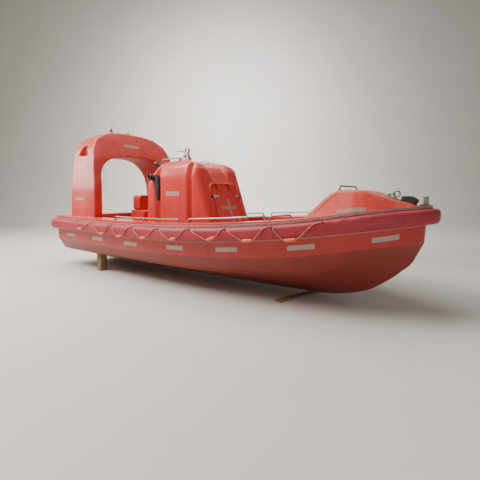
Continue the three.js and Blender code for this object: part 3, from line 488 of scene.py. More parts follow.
def make_scuffs():
    """Scuff: short thin scratches in several directions."""
    tree, given, out = group_tree("scuffs", [("Size", 9.0), ("Amount", 0.5)], ["Scuff"])
    spot = add_node(tree, "ShaderNodeTexCoord").outputs["Object"]
    bend = add_node(tree, "ShaderNodeTexNoise", {"Vector": spot, "Scale": given.outputs["Size"]})
    shifted = add_node(tree, "ShaderNodeVectorMath", {0: spot, 1: bend.outputs["Color"]}, operation="ADD")
    stretch = add_node(tree, "ShaderNodeMapping", {"Vector": shifted.outputs[0], "Scale": (0.5, 0.5, 3.0)})
    thin = add_node(tree, "ShaderNodeTexNoise",
                    {"Vector": stretch.outputs[0], "Scale": 22.0, "Detail": 6.0, "Roughness": 0.75})
    line = math_node(tree, "ABSOLUTE", math_node(tree, "SUBTRACT", thin.outputs["Fac"], 0.5))
    mark = ramp(tree, line, 0.0, 0.012, 1.0, 0.0)
    where = add_node(tree, "ShaderNodeTexNoise", {"Vector": spot, "Scale": 1.7, "Detail": 2.0})
    some = math_node(tree, "MULTIPLY", mark, ramp(tree, where.outputs["Fac"], 0.5, 0.62))
    tree.links.new(math_node(tree, "MULTIPLY", some, given.outputs["Amount"]), out.inputs["Scuff"])
    return tree


WEATHER = make_weather()
SCUFFS = make_scuffs()
print("mark groups:", WEATHER.name, SCUFFS.name)

# %% [markdown]
# Every finish starts from the same small frame: a Principled shader, a colour that the marks mix towards
# other colours, a roughness that follows them, and a bump for the fine relief. What differs is in the
# arguments of one call, so one finish can be compared with the next.

# %% A frame for finishes
def linear(red, green, blue):
    """A colour as seen on screen, 0 to 255, as the linear values that the shader works in."""
    parts = [c / 255 for c in (red, green, blue)]
    return tuple(p / 12.92 if p <= 0.04045 else ((p + 0.055) / 1.055) ** 2.4 for p in parts) + (1.0,)


def mixed(tree, share, first, second):
    return add_node(tree, "ShaderNodeMix", {0: share, 6: first, 7: second}, data_type="RGBA").outputs[2]


def start_finish(name, **shader_values):
    material = bpy.data.materials.new(name)
    material.use_nodes = True
    shader = material.node_tree.nodes["Principled BSDF"]
    for key, value in shader_values.items():
        shader.inputs[key.replace("_", " ").title().replace("Ior", "IOR")].default_value = value
    return material, material.node_tree, shader


def use_group(tree, group, **values):
    node = add_node(tree, "ShaderNodeGroup", node_tree=group)
    for key, value in values.items():
        node.inputs[key.replace("_", " ").title()].default_value = value
    return node


def relief(tree, shader, height, strength, distance=0.002):
    bump = add_node(tree, "ShaderNodeBump", {"Height": height, "Strength": strength, "Distance": distance})
    tree.links.new(bump.outputs["Normal"], shader.inputs["Normal"])


def weathered(name, fresh, faded, dirt, fade_and_top_light=0.6, stain=0.35, rough_from=0.3, rough_to=0.6, bump=0.15,
              patch=2.0, grain=300.0, scuff=0.0, scuff_colour=None, **shader_values):
    """A painted or moulded finish with the shared marks."""
    material, tree, shader = start_finish(name, **shader_values)
    marks = use_group(tree, WEATHER, patch_size=patch, grain_size=grain)
    # the first mask pulls the colour towards the pale one: sun-bleached patches, and painted light from above
    # on what faces up
    fade_and_top_light_share = math_node(tree, "MULTIPLY", marks.outputs["Fade"], fade_and_top_light)
    staining = math_node(tree, "MULTIPLY", marks.outputs["Stain"], stain)
    colour = mixed(tree, staining, mixed(tree, fade_and_top_light_share, fresh, faded), dirt)
    if scuff:
        scuffs = use_group(tree, SCUFFS, amount=scuff)
        colour = mixed(tree, scuffs.outputs["Scuff"], colour, scuff_colour or faded)
    tree.links.new(colour, shader.inputs["Base Color"])
    tree.links.new(ramp(tree, fade_and_top_light_share, 0.0, 1.0, rough_from, rough_to), shader.inputs["Roughness"])
    relief(tree, shader, marks.outputs["Grain"], bump)
    return material


print("mid grey as the shader sees it:", round(linear(128, 128, 128)[0], 3))

# %% [markdown]
# The boat's own finishes. Signal orange gelcoat turns pink and chalky in the sun, and what faces up is
# painted paler still, which is painted light from above. The topside is the same laminate in a darker coat,
# which is painted shade, and below the knuckle a darker, browner coat is painted shade on the bottom, with
# its own stains and scuffs. The fender's cover is a coated cloth of a deeper, colder red.
# Tubes are stainless steel, dulled by salt. The other finishes are small: white paint, rubber, brass,
# zinc, cast alloy, rope, foam floats, vinyl and weathered timber.

# %% Finishes of the boat
GELCOAT_FRESH = linear(204, 51, 43)
GELCOAT_FADED_AND_TOP_LIT = linear(220, 78, 64)
GELCOAT_DIRT = linear(112, 36, 30)

GELCOAT = weathered("gelcoat", GELCOAT_FRESH, GELCOAT_FADED_AND_TOP_LIT, GELCOAT_DIRT, fade_and_top_light=0.55, stain=0.22,
                    rough_from=0.24, rough_to=0.46, scuff=0.3, coat_weight=0.25, coat_roughness=0.1)
# painted shade: the topside coat is the gelcoat made darker, and the bottom coat below the knuckle darker and
# browner still; their stains and scuffs are their own
HULL_SHADED_COAT = weathered("hull_gelcoat_painted_shade", linear(176, 41, 32), linear(176, 55, 45), linear(104, 36, 30),
                      fade_and_top_light=0.5, stain=0.4, rough_from=0.28, rough_to=0.5, scuff=0.5,
                      scuff_colour=linear(222, 130, 110), patch=1.3)
BOTTOM_SHADED_COAT = weathered("bottom_gelcoat_painted_shade", linear(140, 51, 42), linear(142, 64, 54),
                        linear(96, 44, 38), fade_and_top_light=0.6, stain=0.5, rough_from=0.42, rough_to=0.62,
                        scuff=0.7, scuff_colour=linear(196, 118, 102), patch=1.1)
# painted shade: a darker, duller copy of the gelcoat for the inside of the arch's opening; its runs of dirt
# are stains
INNER_SHADED_COAT = weathered("inner_gelcoat_painted_shade", linear(168, 42, 36), linear(176, 66, 58),
                       linear(84, 34, 32), fade_and_top_light=0.5, stain=0.6, rough_from=0.6, rough_to=0.8)
# painted light: the trunk's coat is the same gelcoat made paler and pinker, so that the trunk stands brighter
FOREDECK_LIT_COAT = weathered("foredeck_gelcoat_painted_light", GELCOAT_FRESH, linear(232, 112, 96), GELCOAT_DIRT,
                          fade_and_top_light=0.95, stain=0.22, rough_from=0.26, rough_to=0.5, scuff=0.3)
ARCH_COAT = weathered("arch_gelcoat", linear(194, 56, 50), linear(222, 98, 88), GELCOAT_DIRT, fade_and_top_light=0.7,
                      stain=0.22, rough_from=0.24, rough_to=0.46, scuff=0.3, coat_weight=0.25,
                      coat_roughness=0.1)
FENDER_COVER = weathered("fender_cover", linear(160, 32, 45), linear(184, 72, 82), linear(84, 24, 34),
                         fade_and_top_light=0.6, stain=0.35, rough_from=0.46, rough_to=0.68, bump=0.35, grain=620.0)
STAINLESS = weathered("stainless", linear(168, 160, 156), linear(142, 132, 126), linear(110, 82, 64),
                      fade_and_top_light=0.7, stain=0.4, rough_from=0.24, rough_to=0.42, bump=0.05, metallic=1.0)
BRASS = weathered("aged_brass", linear(150, 122, 70), linear(118, 104, 72), linear(70, 60, 42),
                  fade_and_top_light=0.7, stain=0.5, rough_from=0.3, rough_to=0.5, bump=0.1, metallic=1.0)
WHITE_PAINT = weathered("white_paint", linear(214, 204, 196), linear(184, 170, 158),
                        linear(104, 66, 46), fade_and_top_light=0.6, stain=0.8, rough_from=0.3, rough_to=0.55)
SEAT_VINYL = weathered("seat_vinyl", linear(198, 50, 40), linear(206, 84, 74), linear(110, 30, 28),
                       fade_and_top_light=0.5, stain=0.25, rough_from=0.38, rough_to=0.55, bump=0.25, grain=700.0)
BLACK_RUBBER = weathered("black_rubber", linear(34, 32, 34), linear(70, 66, 66), linear(92, 80, 72),
                         fade_and_top_light=0.5, stain=0.3, rough_from=0.55, rough_to=0.8, bump=0.35, grain=420.0)
BLACK_PLASTIC = weathered("black_plastic", linear(38, 36, 39), linear(74, 70, 72), linear(96, 84, 78),
                          fade_and_top_light=0.4, stain=0.25, rough_from=0.4, rough_to=0.6, bump=0.25, grain=800.0)
GALVANISED = weathered("galvanised", linear(138, 134, 130), linear(164, 158, 152), linear(90, 72, 62),
                       fade_and_top_light=0.7, stain=0.5, rough_from=0.42, rough_to=0.6, bump=0.2, metallic=0.85)
ENGINE_PAINT = weathered("engine_paint", linear(82, 98, 106), linear(110, 120, 122),
                         linear(48, 40, 34), fade_and_top_light=0.4, stain=0.5, rough_from=0.4, rough_to=0.6)
CAST_ALLOY = weathered("cast_alloy", linear(150, 152, 154), linear(176, 176, 174),
                       linear(84, 82, 78), fade_and_top_light=0.5, stain=0.5, rough_from=0.42, rough_to=0.62,
                       bump=0.5, grain=160.0, metallic=0.85)
BATTEN_GREY = weathered("rim_batten", linear(158, 116, 108), linear(190, 146, 136),
                        linear(88, 58, 54), fade_and_top_light=0.7, stain=0.5, rough_from=0.5, rough_to=0.7)
FOAM_FLOAT = weathered("foam_float", linear(232, 84, 52), linear(244, 142, 116), linear(130, 56, 44),
                       fade_and_top_light=0.7, stain=0.4, rough_from=0.55, rough_to=0.75, bump=0.6, grain=240.0)
print("finishes:", len([m for m in bpy.data.materials if m.name != "Material"]))

# %% [markdown]
# Some finishes have a pattern of their own. Rope shows its strands, which run round it at an angle, so it
# reads the rope's own UV map. Timber has rings stretched along the grain. Reflective tape is a grid
# of tiny cells under a clear film, and the lamp's cap is clear plastic.

# %% Finishes with a pattern
def make_rope_finish():
    material, tree, shader = start_finish("rope_strands", roughness=0.85)
    uv = add_node(tree, "ShaderNodeUVMap", uv_map="along")
    parts = add_node(tree, "ShaderNodeSeparateXYZ", {0: uv.outputs[0]})
    lay = math_node(tree, "ADD", math_node(tree, "MULTIPLY", parts.outputs["X"], 62.0),
                    math_node(tree, "MULTIPLY", parts.outputs["Y"], 3.0))
    wave = math_node(tree, "SINE", math_node(tree, "MULTIPLY", lay, 2 * math.pi))
    strand = ramp(tree, wave, -1.0, 1.0)
    marks = use_group(tree, WEATHER, patch_size=9.0, grain_size=900.0)
    worn = mixed(tree, marks.outputs["Fade"], linear(206, 96, 90), linear(232, 158, 142))
    # painted shade: the grooves between the strands are darker
    colour = mixed(tree, ramp(tree, strand, 0.0, 0.5, 0.3, 1.0), linear(128, 48, 48), worn)
    tree.links.new(colour, shader.inputs["Base Color"])
    relief(tree, shader, strand, 0.9, 0.002)
    return material


def make_timber_finish():
    material, tree, shader = start_finish("weathered_timber", roughness=0.85)
    spot = add_node(tree, "ShaderNodeTexCoord").outputs["Object"]
    stretch = add_node(tree, "ShaderNodeMapping", {"Vector": spot, "Scale": (16.0, 3.0, 3.0)})
    rings = add_node(tree, "ShaderNodeTexNoise",
                     {"Vector": stretch.outputs[0], "Scale": 3.0, "Detail": 8.0, "Roughness": 0.7})
    fine = add_node(tree, "ShaderNodeTexNoise",
                    {"Vector": stretch.outputs[0], "Scale": 14.0, "Detail": 5.0, "Roughness": 0.6})
    grain = math_node(tree, "MULTIPLY", rings.outputs["Fac"], fine.outputs["Fac"])
    marks = use_group(tree, WEATHER, patch_size=4.0, grain_size=200.0)
    wood = mixed(tree, ramp(tree, grain, 0.14, 0.36), linear(92, 70, 52), linear(166, 136, 104))
    colour = mixed(tree, math_node(tree, "MULTIPLY", marks.outputs["Stain"], 0.6), wood, linear(48, 38, 32))
    tree.links.new(colour, shader.inputs["Base Color"])
    relief(tree, shader, grain, 0.6, 0.003)
    return material


def make_tape_finish():
    material, tree, shader = start_finish("reflective_tape", roughness=0.35, coat_weight=0.4)
    spot = add_node(tree, "ShaderNodeTexCoord").outputs["Object"]
    cells = add_node(tree, "ShaderNodeTexVoronoi", {"Vector": spot, "Scale": 260.0})
    marks = use_group(tree, WEATHER, patch_size=11.0, run_width=30.0)
    cell = ramp(tree, cells.outputs["Distance"], 0.2, 0.6)
    film = mixed(tree, cell, linear(190, 168, 150), linear(160, 140, 124))
    dirt = math_node(tree, "MULTIPLY", marks.outputs["Stain"], 0.5)
    colour = mixed(tree, dirt, film, linear(150, 84, 68))
    tree.links.new(colour, shader.inputs["Base Color"])
    relief(tree, shader, cells.outputs["Distance"], 0.15, 0.001)
    return material


def make_clear_finish():
    material, tree, shader = start_finish("clear_lamp_cap", roughness=0.12, coat_weight=0.5,
                                          transmission_weight=0.55, ior=1.49)
    marks = use_group(tree, WEATHER, patch_size=20.0)
    colour = mixed(tree, marks.outputs["Stain"], linear(238, 236, 230), linear(196, 184, 168))
    tree.links.new(colour, shader.inputs["Base Color"])
    return material


ROPE = make_rope_finish()
TIMBER = make_timber_finish()
TAPE = make_tape_finish()
CLEAR_CAP = make_clear_finish()
print("finishes with a pattern:", [finish.name for finish in (ROPE, TIMBER, TAPE, CLEAR_CAP)])

# %% [markdown]
# The floor is plain and pale, and bends up into a backdrop far behind, so no horizon cuts the picture. It is
# one strip, turned to face the camera, and belongs to the stage, not to the boat.

# %% Stage
# metres from the model's origin along the camera's view, and to each side of it
FLOOR_NEAR, FLOOR_FAR, FLOOR_HALF = -14.0, 9.0, 22.0
SWEEP_R, SWEEP_FROM, WALL_TOP = 3, 0.2, 12.0


def make_stage():
    material, tree, shader = start_finish("pale_floor", roughness=0.75)
    spot = add_node(tree, "ShaderNodeTexCoord").outputs["Object"]
    cloud = add_node(tree, "ShaderNodeTexNoise", {"Vector": spot, "Scale": 0.7, "Detail": 6.0})
    tint = mixed(tree, cloud.outputs["Fac"], linear(206, 202, 195), linear(216, 212, 206))
    tree.links.new(tint, shader.inputs["Base Color"])
    profile = [(FLOOR_NEAR, 0.0), (FLOOR_FAR, 0.0)]
    profile += [(FLOOR_FAR + SWEEP_R * math.sin(a), SWEEP_R - SWEEP_R * math.cos(a))
                for a in np.linspace(SWEEP_FROM, math.pi / 2, 8)]
    profile.append((FLOOR_FAR + SWEEP_R, WALL_TOP))
    away = Vector((-math.sin(CAMERA_YAW), math.cos(CAMERA_YAW), 0))
    across = Vector((math.cos(CAMERA_YAW), math.sin(CAMERA_YAW), 0))
    verts, faces = [], []
    for distance, height in profile:
        for side in (-FLOOR_HALF, FLOOR_HALF):
            verts.append(tuple(away * distance + across * side + Vector((0, 0, height))))
    for i in range(len(profile) - 1):
        faces.append((2 * i, 2 * i + 1, 2 * i + 3, 2 * i + 2))
    mesh = bpy.data.meshes.new("studio_floor")
    mesh.from_pydata(verts, [], faces)
    mesh.materials.append(material)
    mesh.shade_smooth()
    floor = new_object("studio_floor", mesh)
    print("floor points:", len(mesh.vertices))


make_stage()

# %% [markdown]
# Daylight from high on the left becomes a large soft panel: it lights the boat's side and leaves what faces
# forward in half shade. A second panel, lower and further aft, brightens the arch. One overhead lights what
# faces up, a weak low one opens the shade under the bow, and the last one only lights the backdrop.

# %% Lights
WORLD_COLOUR, WORLD_STRENGTH = (0.82, 0.8, 0.78, 1.0), 0.3
# name, place, aim, size, power, colour
LIGHTS = (
    ("key_panel", (-3.6, -4.6, 7.2), (0.0, -0.4, 1.0), 4.6, 1150.0, (1.0, 0.97, 0.93)),
    ("stern_panel", (-8.0, -4.2, 3.6), (-0.5, -0.4, 1.8), 3.2, 230.0, (1.0, 0.98, 0.96)),
    ("top_panel", (-1.0, 0.5, 7.5), (0.0, 0.0, 0.8), 6.0, 420.0, (1.0, 0.97, 0.94)),
    ("low_panel", (6.8, -3.4, 0.9), (2.2, -0.3, 0.5), 2.4, 44.0, (0.96, 0.98, 1.0)),
    ("backdrop_panel", (-3.2, 4.4, 6.5), (-6.6, 9.0, 3.0), 5.0, 1300.0, (1.0, 0.98, 0.95)),
)


def make_lights():
    for name, spot, aim, size, power, colour in LIGHTS:
        data = bpy.data.lights.new(name, "AREA")
        data.energy = power
        data.size = size
        data.color = colour
        lamp = new_object(name, data)
        lamp.location = spot
        lamp.rotation_euler = (Vector(aim) - Vector(spot)).to_track_quat("-Z", "Y").to_euler()
    world = bpy.data.worlds.new("studio_air")
    world.use_nodes = True
    world.node_tree.nodes["Background"].inputs["Color"].default_value = WORLD_COLOUR
    world.node_tree.nodes["Background"].inputs["Strength"].default_value = WORLD_STRENGTH
    bpy.context.scene.world = world


make_lights()
print("lights:", [row[0] for row in LIGHTS])

# %% [markdown]
# The hull's lines. A designer draws a hull as a few long lines: the sheer at the deck, the knuckle, the
# chine and the keel. Each line here has a breadth law in plan and a table of heights, the same ones that
# the solids use, so that a piece built on a line sits where the solid is.

# %% The hull's lines
MIDSHIP_X = 2478
AFT_SHARE = 0.28
STEM_PACKING = 1.6
DECK_THICK = 44
SOLE_Z = 550
SIDE_DECK = 270
FENDER_DROP = 6
# the cover bulges up beside the batten towards the bow
FENDER_RISE = ((4300, 0), (5200, 8), (6010, 17))

# beam and breadth at the transom are halves, stem is an x, heights are pairs of x and z
Line = namedtuple("Line", "beam transom stem fullness bluntness heights")
SHEER = Line(1112, 1020, 6010, 2.9, 0.62,
             ((0, 892), (1500, 886), (2400, 878), (3000, 882), (3400, 898), (4000, 929), (4400, 958),
              (4700, 982), (5020, 1019), (5380, 1074), (5700, 1119), (6010, 1148)))
KNUCKLE = Line(1100, 1012, 5985, 2.75, 0.68,
               ((0, 530), (600, 502), (1850, 490), (2960, 510), (3680, 540), (4100, 560), (4600, 600),
                (5020, 650), (5490, 725), (5985, 780)))
CHINE = Line(950, 940, 5880, 2.2, 0.85,
             ((0, 338), (1500, 332), (3340, 332), (4050, 355), (4600, 375), (4970, 400), (5280, 450),
              (5470, 490), (5880, 560)))
KEEL = Line(0, 0, 5880, 2, 1,
            ((0, 26), (2900, 18), (4830, 20), (5000, 38), (5170, 70), (5400, 140), (5610, 280),
             (5800, 440), (5880, 560)))
FENDER_FOOT = ((0, 706), (1500, 712), (2400, 702), (3000, 710), (3400, 722), (3700, 741), (4000, 762),
               (4400, 797), (4700, 826), (5020, 863), (5380, 911), (5700, 957), (6010, 990))


def height_at(table, x):
    """A smooth curve through a line's height table."""
    last = len(table) - 1
    if x <= table[0][0]:
        return table[0][1]
    if x >= table[last][0]:
        return table[last][1]
    i = next(k for k, (tx, _) in enumerate(table) if tx > x) - 1

    def slope(k):
        ahead, behind = table[min(k + 1, last)], table[max(k - 1, 0)]
        return (ahead[1] - behind[1]) / (ahead[0] - behind[0])

    (x0, z0), (x1, z1) = table[i], table[i + 1]
    span = x1 - x0
    t = (x - x0) / span
    rise, ease = t * t * (3 - 2 * t), t * (1 - t)
    return z0 + (z1 - z0) * rise + span * ease * ((1 - t) * slope(i) - t * slope(i + 1))


def half_breadth(line, x):
    if x <= MIDSHIP_X:
        return line.beam - (line.beam - line.transom) * ((MIDSHIP_X - x) / MIDSHIP_X) ** 2
    t = min((x - MIDSHIP_X) / (line.stem - MIDSHIP_X), 1)
    return line.beam * (1 - t ** line.fullness) ** line.bluntness


def sheer_z(x):
    return height_at(SHEER.heights, x)


def deck_z(x):
    return sheer_z(x) + DECK_THICK


def sheer_out(x):
    """The outward direction of the hull's side at the sheer, seen from above, for the port side."""
    slope = (half_breadth(SHEER, x + 5) - half_breadth(SHEER, x - 5)) / 10
    length = math.hypot(slope, 1)
    return -slope / length, 1 / length


def sheer_point(x, outward, side=1):
    """A point outward from the hull's side at the sheer, seen from above."""
    nx, ny = sheer_out(x)
    return x + nx * outward, side * (half_breadth(SHEER, x) + ny * outward)


def hull_side_y(x, z):
    """Half breadth of the topside at a height between the knuckle and the sheer."""
    low, high = height_at(KNUCKLE.heights, x), sheer_z(x)
    share = (z - low) / (high - low)
    return half_breadth(KNUCKLE, x) * (1 - share) + half_breadth(SHEER, x) * share


print("beam over the hull:", 2 * half_breadth(SHEER, MIDSHIP_X), "mm")

# %% [markdown]
# The hull is one laminate shell: a tall topside, a hard knuckle, a band down to the chine and a V bottom
# that rises to the stem. A loft of sections gives it, with small radii at the knuckle, the chine and the
# keel, because a mould never has a knife edge. The transom is upright above the knuckle and cut away
# forward below it. The open shell then gets the thickness of its wall.

# %% Hull shell
HULL_SECTIONS = 130
HULL_WALL = 10
LINE_RADII = (0, 12, 10, 60, 10, 12, 0)
CORNER_STEPS, FLAT_STEPS, CORNER_SHARE = 5, 5, 0.35
KEEL_EASE, EASE_SAMPLES = 110, 6
TRANSOM_HEIGHTS = (-100, 338, 530)
TRANSOM_SETBACKS = (165, 100, 0)
SETBACK_FADES_BY = 700


def section_x(line, share):
    if share <= AFT_SHARE:
        return MIDSHIP_X * share / AFT_SHARE
    t = (share - AFT_SHARE) / (1 - AFT_SHARE)
    return MIDSHIP_X + (line.stem - MIDSHIP_X) * (1 - (1 - t) ** STEM_PACKING)


def eased_height(line, x):
    """The height with the table's corners eased, so that the forefoot is one curve."""
    if line in (SHEER, KNUCKLE):
        return height_at(line.heights, x)
    reach = max(min(KEEL_EASE, line.stem - x), 0)
    shifts = [reach * k / EASE_SAMPLES for k in range(-EASE_SAMPLES, EASE_SAMPLES + 1)]
    return sum(height_at(line.heights, x + shift) for shift in shifts) / len(shifts)


def line_point(line, side, share):
    x = section_x(line, share)
    setback = np.interp(height_at(line.heights, x), TRANSOM_HEIGHTS, TRANSOM_SETBACKS)
    if x < SETBACK_FADES_BY:
        x = setback + x * (1 - setback / SETBACK_FADES_BY)
    y = half_breadth(line, x) * side if share < 1 else 0
    return Vector((x, y, eased_height(line, x)))


def eased_corners(points, radii):
    """A section with rounded corners and points between them; the count is the same for every section."""
    out = []
    for i, (point, radius) in enumerate(zip(points, radii)):
        if radius:
            back, on = points[i - 1] - point, points[i + 1] - point
            reach_back, reach_on = (min(radius, v.length * CORNER_SHARE) for v in (back, on))
            start = point + back.normalized() * reach_back if back.length else point
            end = point + on.normalized() * reach_on if on.length else point
            arc = corner_arc(start, point, end, CORNER_STEPS)
        else:
            arc = [point]
        if out:
            last = out[-1]
            out += [last.lerp(arc[0], k / (FLAT_STEPS + 1)) for k in range(1, FLAT_STEPS + 1)]
        out += arc
    return out


def make_hull():
    rows = ((SHEER, 1), (KNUCKLE, 1), (CHINE, 1), (KEEL, 0), (CHINE, -1), (KNUCKLE, -1), (SHEER, -1))
    sections = []
    for i in range(HULL_SECTIONS + 1):
        share = i / HULL_SECTIONS
        sections.append(eased_corners([line_point(line, side, share) for line, side in rows], LINE_RADII))
    verts, faces = skin(sections, closed_ring=False)
    count = len(sections[0])
    for j in range(count // 2):
        k = count - 1 - j
        faces.append((j, j + 1, k - 1, k) if k - 1 != j + 1 else (j, j + 1, k))
    mesh = mesh_from("hull_shell", verts, faces)
    clean(mesh)
    obj = walled(new_object("hull_shell", mesh), HULL_WALL)
    dress(obj, HULL_SHADED_COAT, "gelcoat", hard_angle=38, stands_for=("hull",))
    # faces below the knuckle take the second, darker coat: painted shade on the bottom
    obj.data.materials.append(BOTTOM_SHADED_COAT)
    for face in obj.data.polygons:
        x, z = (face.center.x + AFT) / MM, face.center.z / MM
        face.material_index = int(z < height_at(KNUCKLE.heights, x))
    return obj


hull = make_hull()

# %% [markdown]
# A low spray rail runs along each chine and throws the water down. It gives the fine line that the light
# picks out on the bottom. It is a loft of one small section, set square to the chine at each station.

# %% Chine rails
CHINE_RAIL_SPAN, CHINE_RAIL_STATIONS = (260, 5320), 120
# height over the chine and reach outward, round the section
CHINE_RAIL = ((-9, -3), (-8, 5), (0, 8), (6, 4), (8, -3))


def make_chine_rails():
    """A low spray rail on each chine; its top edge shows as a fine light line."""
    rails = []
    for side in (1, -1):
        rings = []
        for x in np.linspace(*CHINE_RAIL_SPAN, CHINE_RAIL_STATIONS):
            y, z = half_breadth(CHINE, x), eased_height(CHINE, x)
            ahead, behind = half_breadth(CHINE, x + 20), half_breadth(CHINE, x - 20)
            out = Vector((behind - ahead, 40)).normalized()
            rings.append([(x + out.x * reach, side * (y + out.y * reach), z + rise)
                          for rise, reach in CHINE_RAIL])
        rails.append(skin(rings))
    piece("chine_rails", together(rails), BOTTOM_SHADED_COAT, "gelcoat", hard_angle=50)


make_chine_rails()

# %% [markdown]
# Tape, beads and the feet of rails lie on a finished skin, and a formula would miss it by a few millimetres.
# So a ray is cast at the skin instead. A search tree over its faces makes each ray quick.

# %% Places on a finished skin
def tree_of(obj):
    """A search tree over a finished piece, to lay tape, beads and feet on its skin."""
    verts = [v.co.copy() for v in obj.data.vertices]
    return BVHTree.FromPolygons(verts, [list(p.vertices) for p in obj.data.polygons])


def landing(tree, start, direction):
    """Where a ray from a point meets a skin: the point in millimetres and the skin's normal."""
    hit, normal, _, _ = tree.ray_cast(Vector(place(start)), Vector(direction).normalized())
    if hit is None:
        return None, None
    if normal.dot(Vector(direction)) > 0:
        normal = -normal
    return Vector(((hit.x + AFT) / MM, hit.y / MM, hit.z / MM)), normal


probe, _ = landing(tree_of(hull), (MIDSHIP_X, -2000, sheer_z(MIDSHIP_X) - 100), (0, 1, 0))
print("a ray from starboard meets the hull at y", round(probe.y), "mm")

# %% [markdown]
# The deck's outline turns round the transom's corners and the bow, and the well's outline lies inside it.
# Both are drawn half by half and with the same number of points, so that one can be joined to the other.
# The points are closer together at the corners and towards the stem, where the outline bends most.

# %% Outlines of the deck
CORNER = 60  # radius of the outline at the transom's corner
CORNER_Y = SHEER.transom - CORNER
CORNER_TURN = (180, 98)  # directions in degrees, from straight aft to the side
SIDE_FROM_X = 130
WELL_AFT_X, WELL_FORE_X = 120, 4850
WELL_SIDE_SPAN, WELL_CORNER = (240, 4700), 110
N_AFT, N_ARC, N_SIDE, N_BOW = 16, 10, 120, 60


def spread(first, last, count):
    """count numbers at an even spacing, both ends among them."""
    return [first + (last - first) * k / (count - 1) for k in range(count)]


def arc_points(x, y, radius, turn, count):
    """Points on an arc about x and y, between two directions in degrees."""
    angles = [math.radians(degrees) for degrees in spread(*turn, count)]
    return [(x + math.cos(a) * radius, y + math.sin(a) * radius) for a in angles]


def bow_stations(count):
    """Places from the well's fore end to the stem, closer together towards the stem."""
    return [WELL_FORE_X + (SHEER.stem - WELL_FORE_X) * (1 - (1 - k / count) ** STEM_PACKING)
            for k in range(1, count)]


def outer_loop(outward):
    """Port half of the boat's outline, from the transom's middle round the corner to the stem."""
    points = [(-outward, CORNER_Y * k / N_AFT) for k in range(N_AFT)]
    points += arc_points(CORNER, CORNER_Y, CORNER + outward, CORNER_TURN, N_ARC)
    points += [sheer_point(x, outward) for x in spread(SIDE_FROM_X, WELL_FORE_X, N_SIDE)]
    points += [sheer_point(x, outward) for x in bow_stations(N_BOW)]
    return points + [(SHEER.stem + outward, 0)]


def well_loop(grow):
    """Port half of the cockpit's outline, with as many points as the boat's outline."""
    aft, fore = WELL_AFT_X - grow, WELL_FORE_X + grow
    radius = WELL_CORNER + grow
    aft_y = half_breadth(SHEER, WELL_AFT_X) - SIDE_DECK + grow
    fore_y = half_breadth(SHEER, WELL_FORE_X) - SIDE_DECK + grow
    points = [(aft, (aft_y - radius) * k / N_AFT) for k in range(N_AFT)]
    points += arc_points(aft + radius, aft_y - radius, radius, (180, 90), N_ARC)
    points += [(x, half_breadth(SHEER, x) - SIDE_DECK + grow) for x in spread(*WELL_SIDE_SPAN, N_SIDE)]
    turn = N_BOW // 2
    points += arc_points(fore - radius, fore_y - radius, radius, (80, 0), turn)
    rest = N_BOW - turn
    return points + [(fore, (fore_y - radius) * (1 - (k + 1) / rest)) for k in range(rest)]


def full_loop(half):
    """Both halves of an outline as one closed loop."""
    return list(half) + [(x, -y, *z) for x, y, *z in reversed(half[1:-1])]


def lifted(points, z_of):
    return [(x, y, z_of(x)) for x, y in points]


def at_sheer(rise):
    return lambda x: sheer_z(max(x, 0)) + rise


def at_deck(rise):
    return lambda x: deck_z(max(x, 0)) + rise


print("points on half an outline:", len(outer_loop(0)), "and", len(well_loop(0)))

# %% [markdown]
# The deck and the cockpit well are one moulding, laid on the hull like a lid. From the outside in, its
# section has an upright edge, a rolled lip, the side deck, a soft corner and the well's wall down to the
# sole. All of it is one strip of loops, which a small shell thickness closes.

# %% Deck and cockpit moulding
DECK_WALL = 8
# outward from the hull's side and height over the sheer, from under the edge up over the rolled lip
EDGE_SECTION = ((-8, 1), (35, 1), (40, 5), (40, 26), (42.5, 30), (44, 35), (42.5, 41), (38, 44.5), (30, 45),
                (14, 44))
# outward from the well's wall and depth below the deck, over the soft corner and down
COAMING_SECTION = ((26, 0), (15, -1), (7, -5), (2, -12), (0, -22))
FILLET_SECTION = ((0, 60), (-2, 34), (-9, 15), (-22, 4), (-40, 0))
WALL_LOOP_Z = -90  # a loop under the soft corner, so that the wall below it is flat
# shares of the way from the deck's edge to the well, and of the sole's breadth
SIDE_DECK_SHARES, SOLE_SHARES = (0.3, 0.65), (0.6, 0.2, 0.0)


def make_deck():
    loops = [full_loop(lifted(outer_loop(out), at_sheer(rise))) for out, rise in EDGE_SECTION]
    inner = well_loop(COAMING_SECTION[0][0])
    outer = outer_loop(EDGE_SECTION[-1][0])
    for share in SIDE_DECK_SHARES:
        between = [(a[0] * (1 - share) + b[0] * share, a[1] * (1 - share) + b[1] * share)
                   for a, b in zip(outer, inner)]
        loops.append(full_loop(lifted(between, at_deck(0))))
    loops += [full_loop(lifted(well_loop(out), at_deck(rise))) for out, rise in COAMING_SECTION]
    loops.append(full_loop(lifted(well_loop(0), at_deck(WALL_LOOP_Z))))
    loops += [full_loop([(x, y, SOLE_Z + rise) for x, y in well_loop(out)]) for out, rise in FILLET_SECTION]
    sole = well_loop(FILLET_SECTION[-1][0])
    for share in SOLE_SHARES:
        loops.append(full_loop([(x, y * share, SOLE_Z) for x, y in sole]))
    mesh = mesh_from("deck_moulding", *skin(loops, caps=False))
    clean(mesh, outward=False)
    rising = sum(p.normal.z * p.area for p in mesh.polygons)
    if rising < 0:
        mesh.flip_normals()
    obj = walled(new_object("deck_moulding", mesh), DECK_WALL)
    dress(obj, GELCOAT, "gelcoat", hard_angle=35, stands_for=("deck_liner",))


make_deck()

# %% [markdown]
# The fender's cover is coated cloth, laced tight over foam. It has puckers along its top edge, long
# diagonal wrinkles where it is pulled round the bow, and upright ones at the quarters. A cloth simulation
# would be slow and would put them where it likes. A few sine waves do it here, each faded to its own part
# of the cover, and a low noise keeps them from repeating.

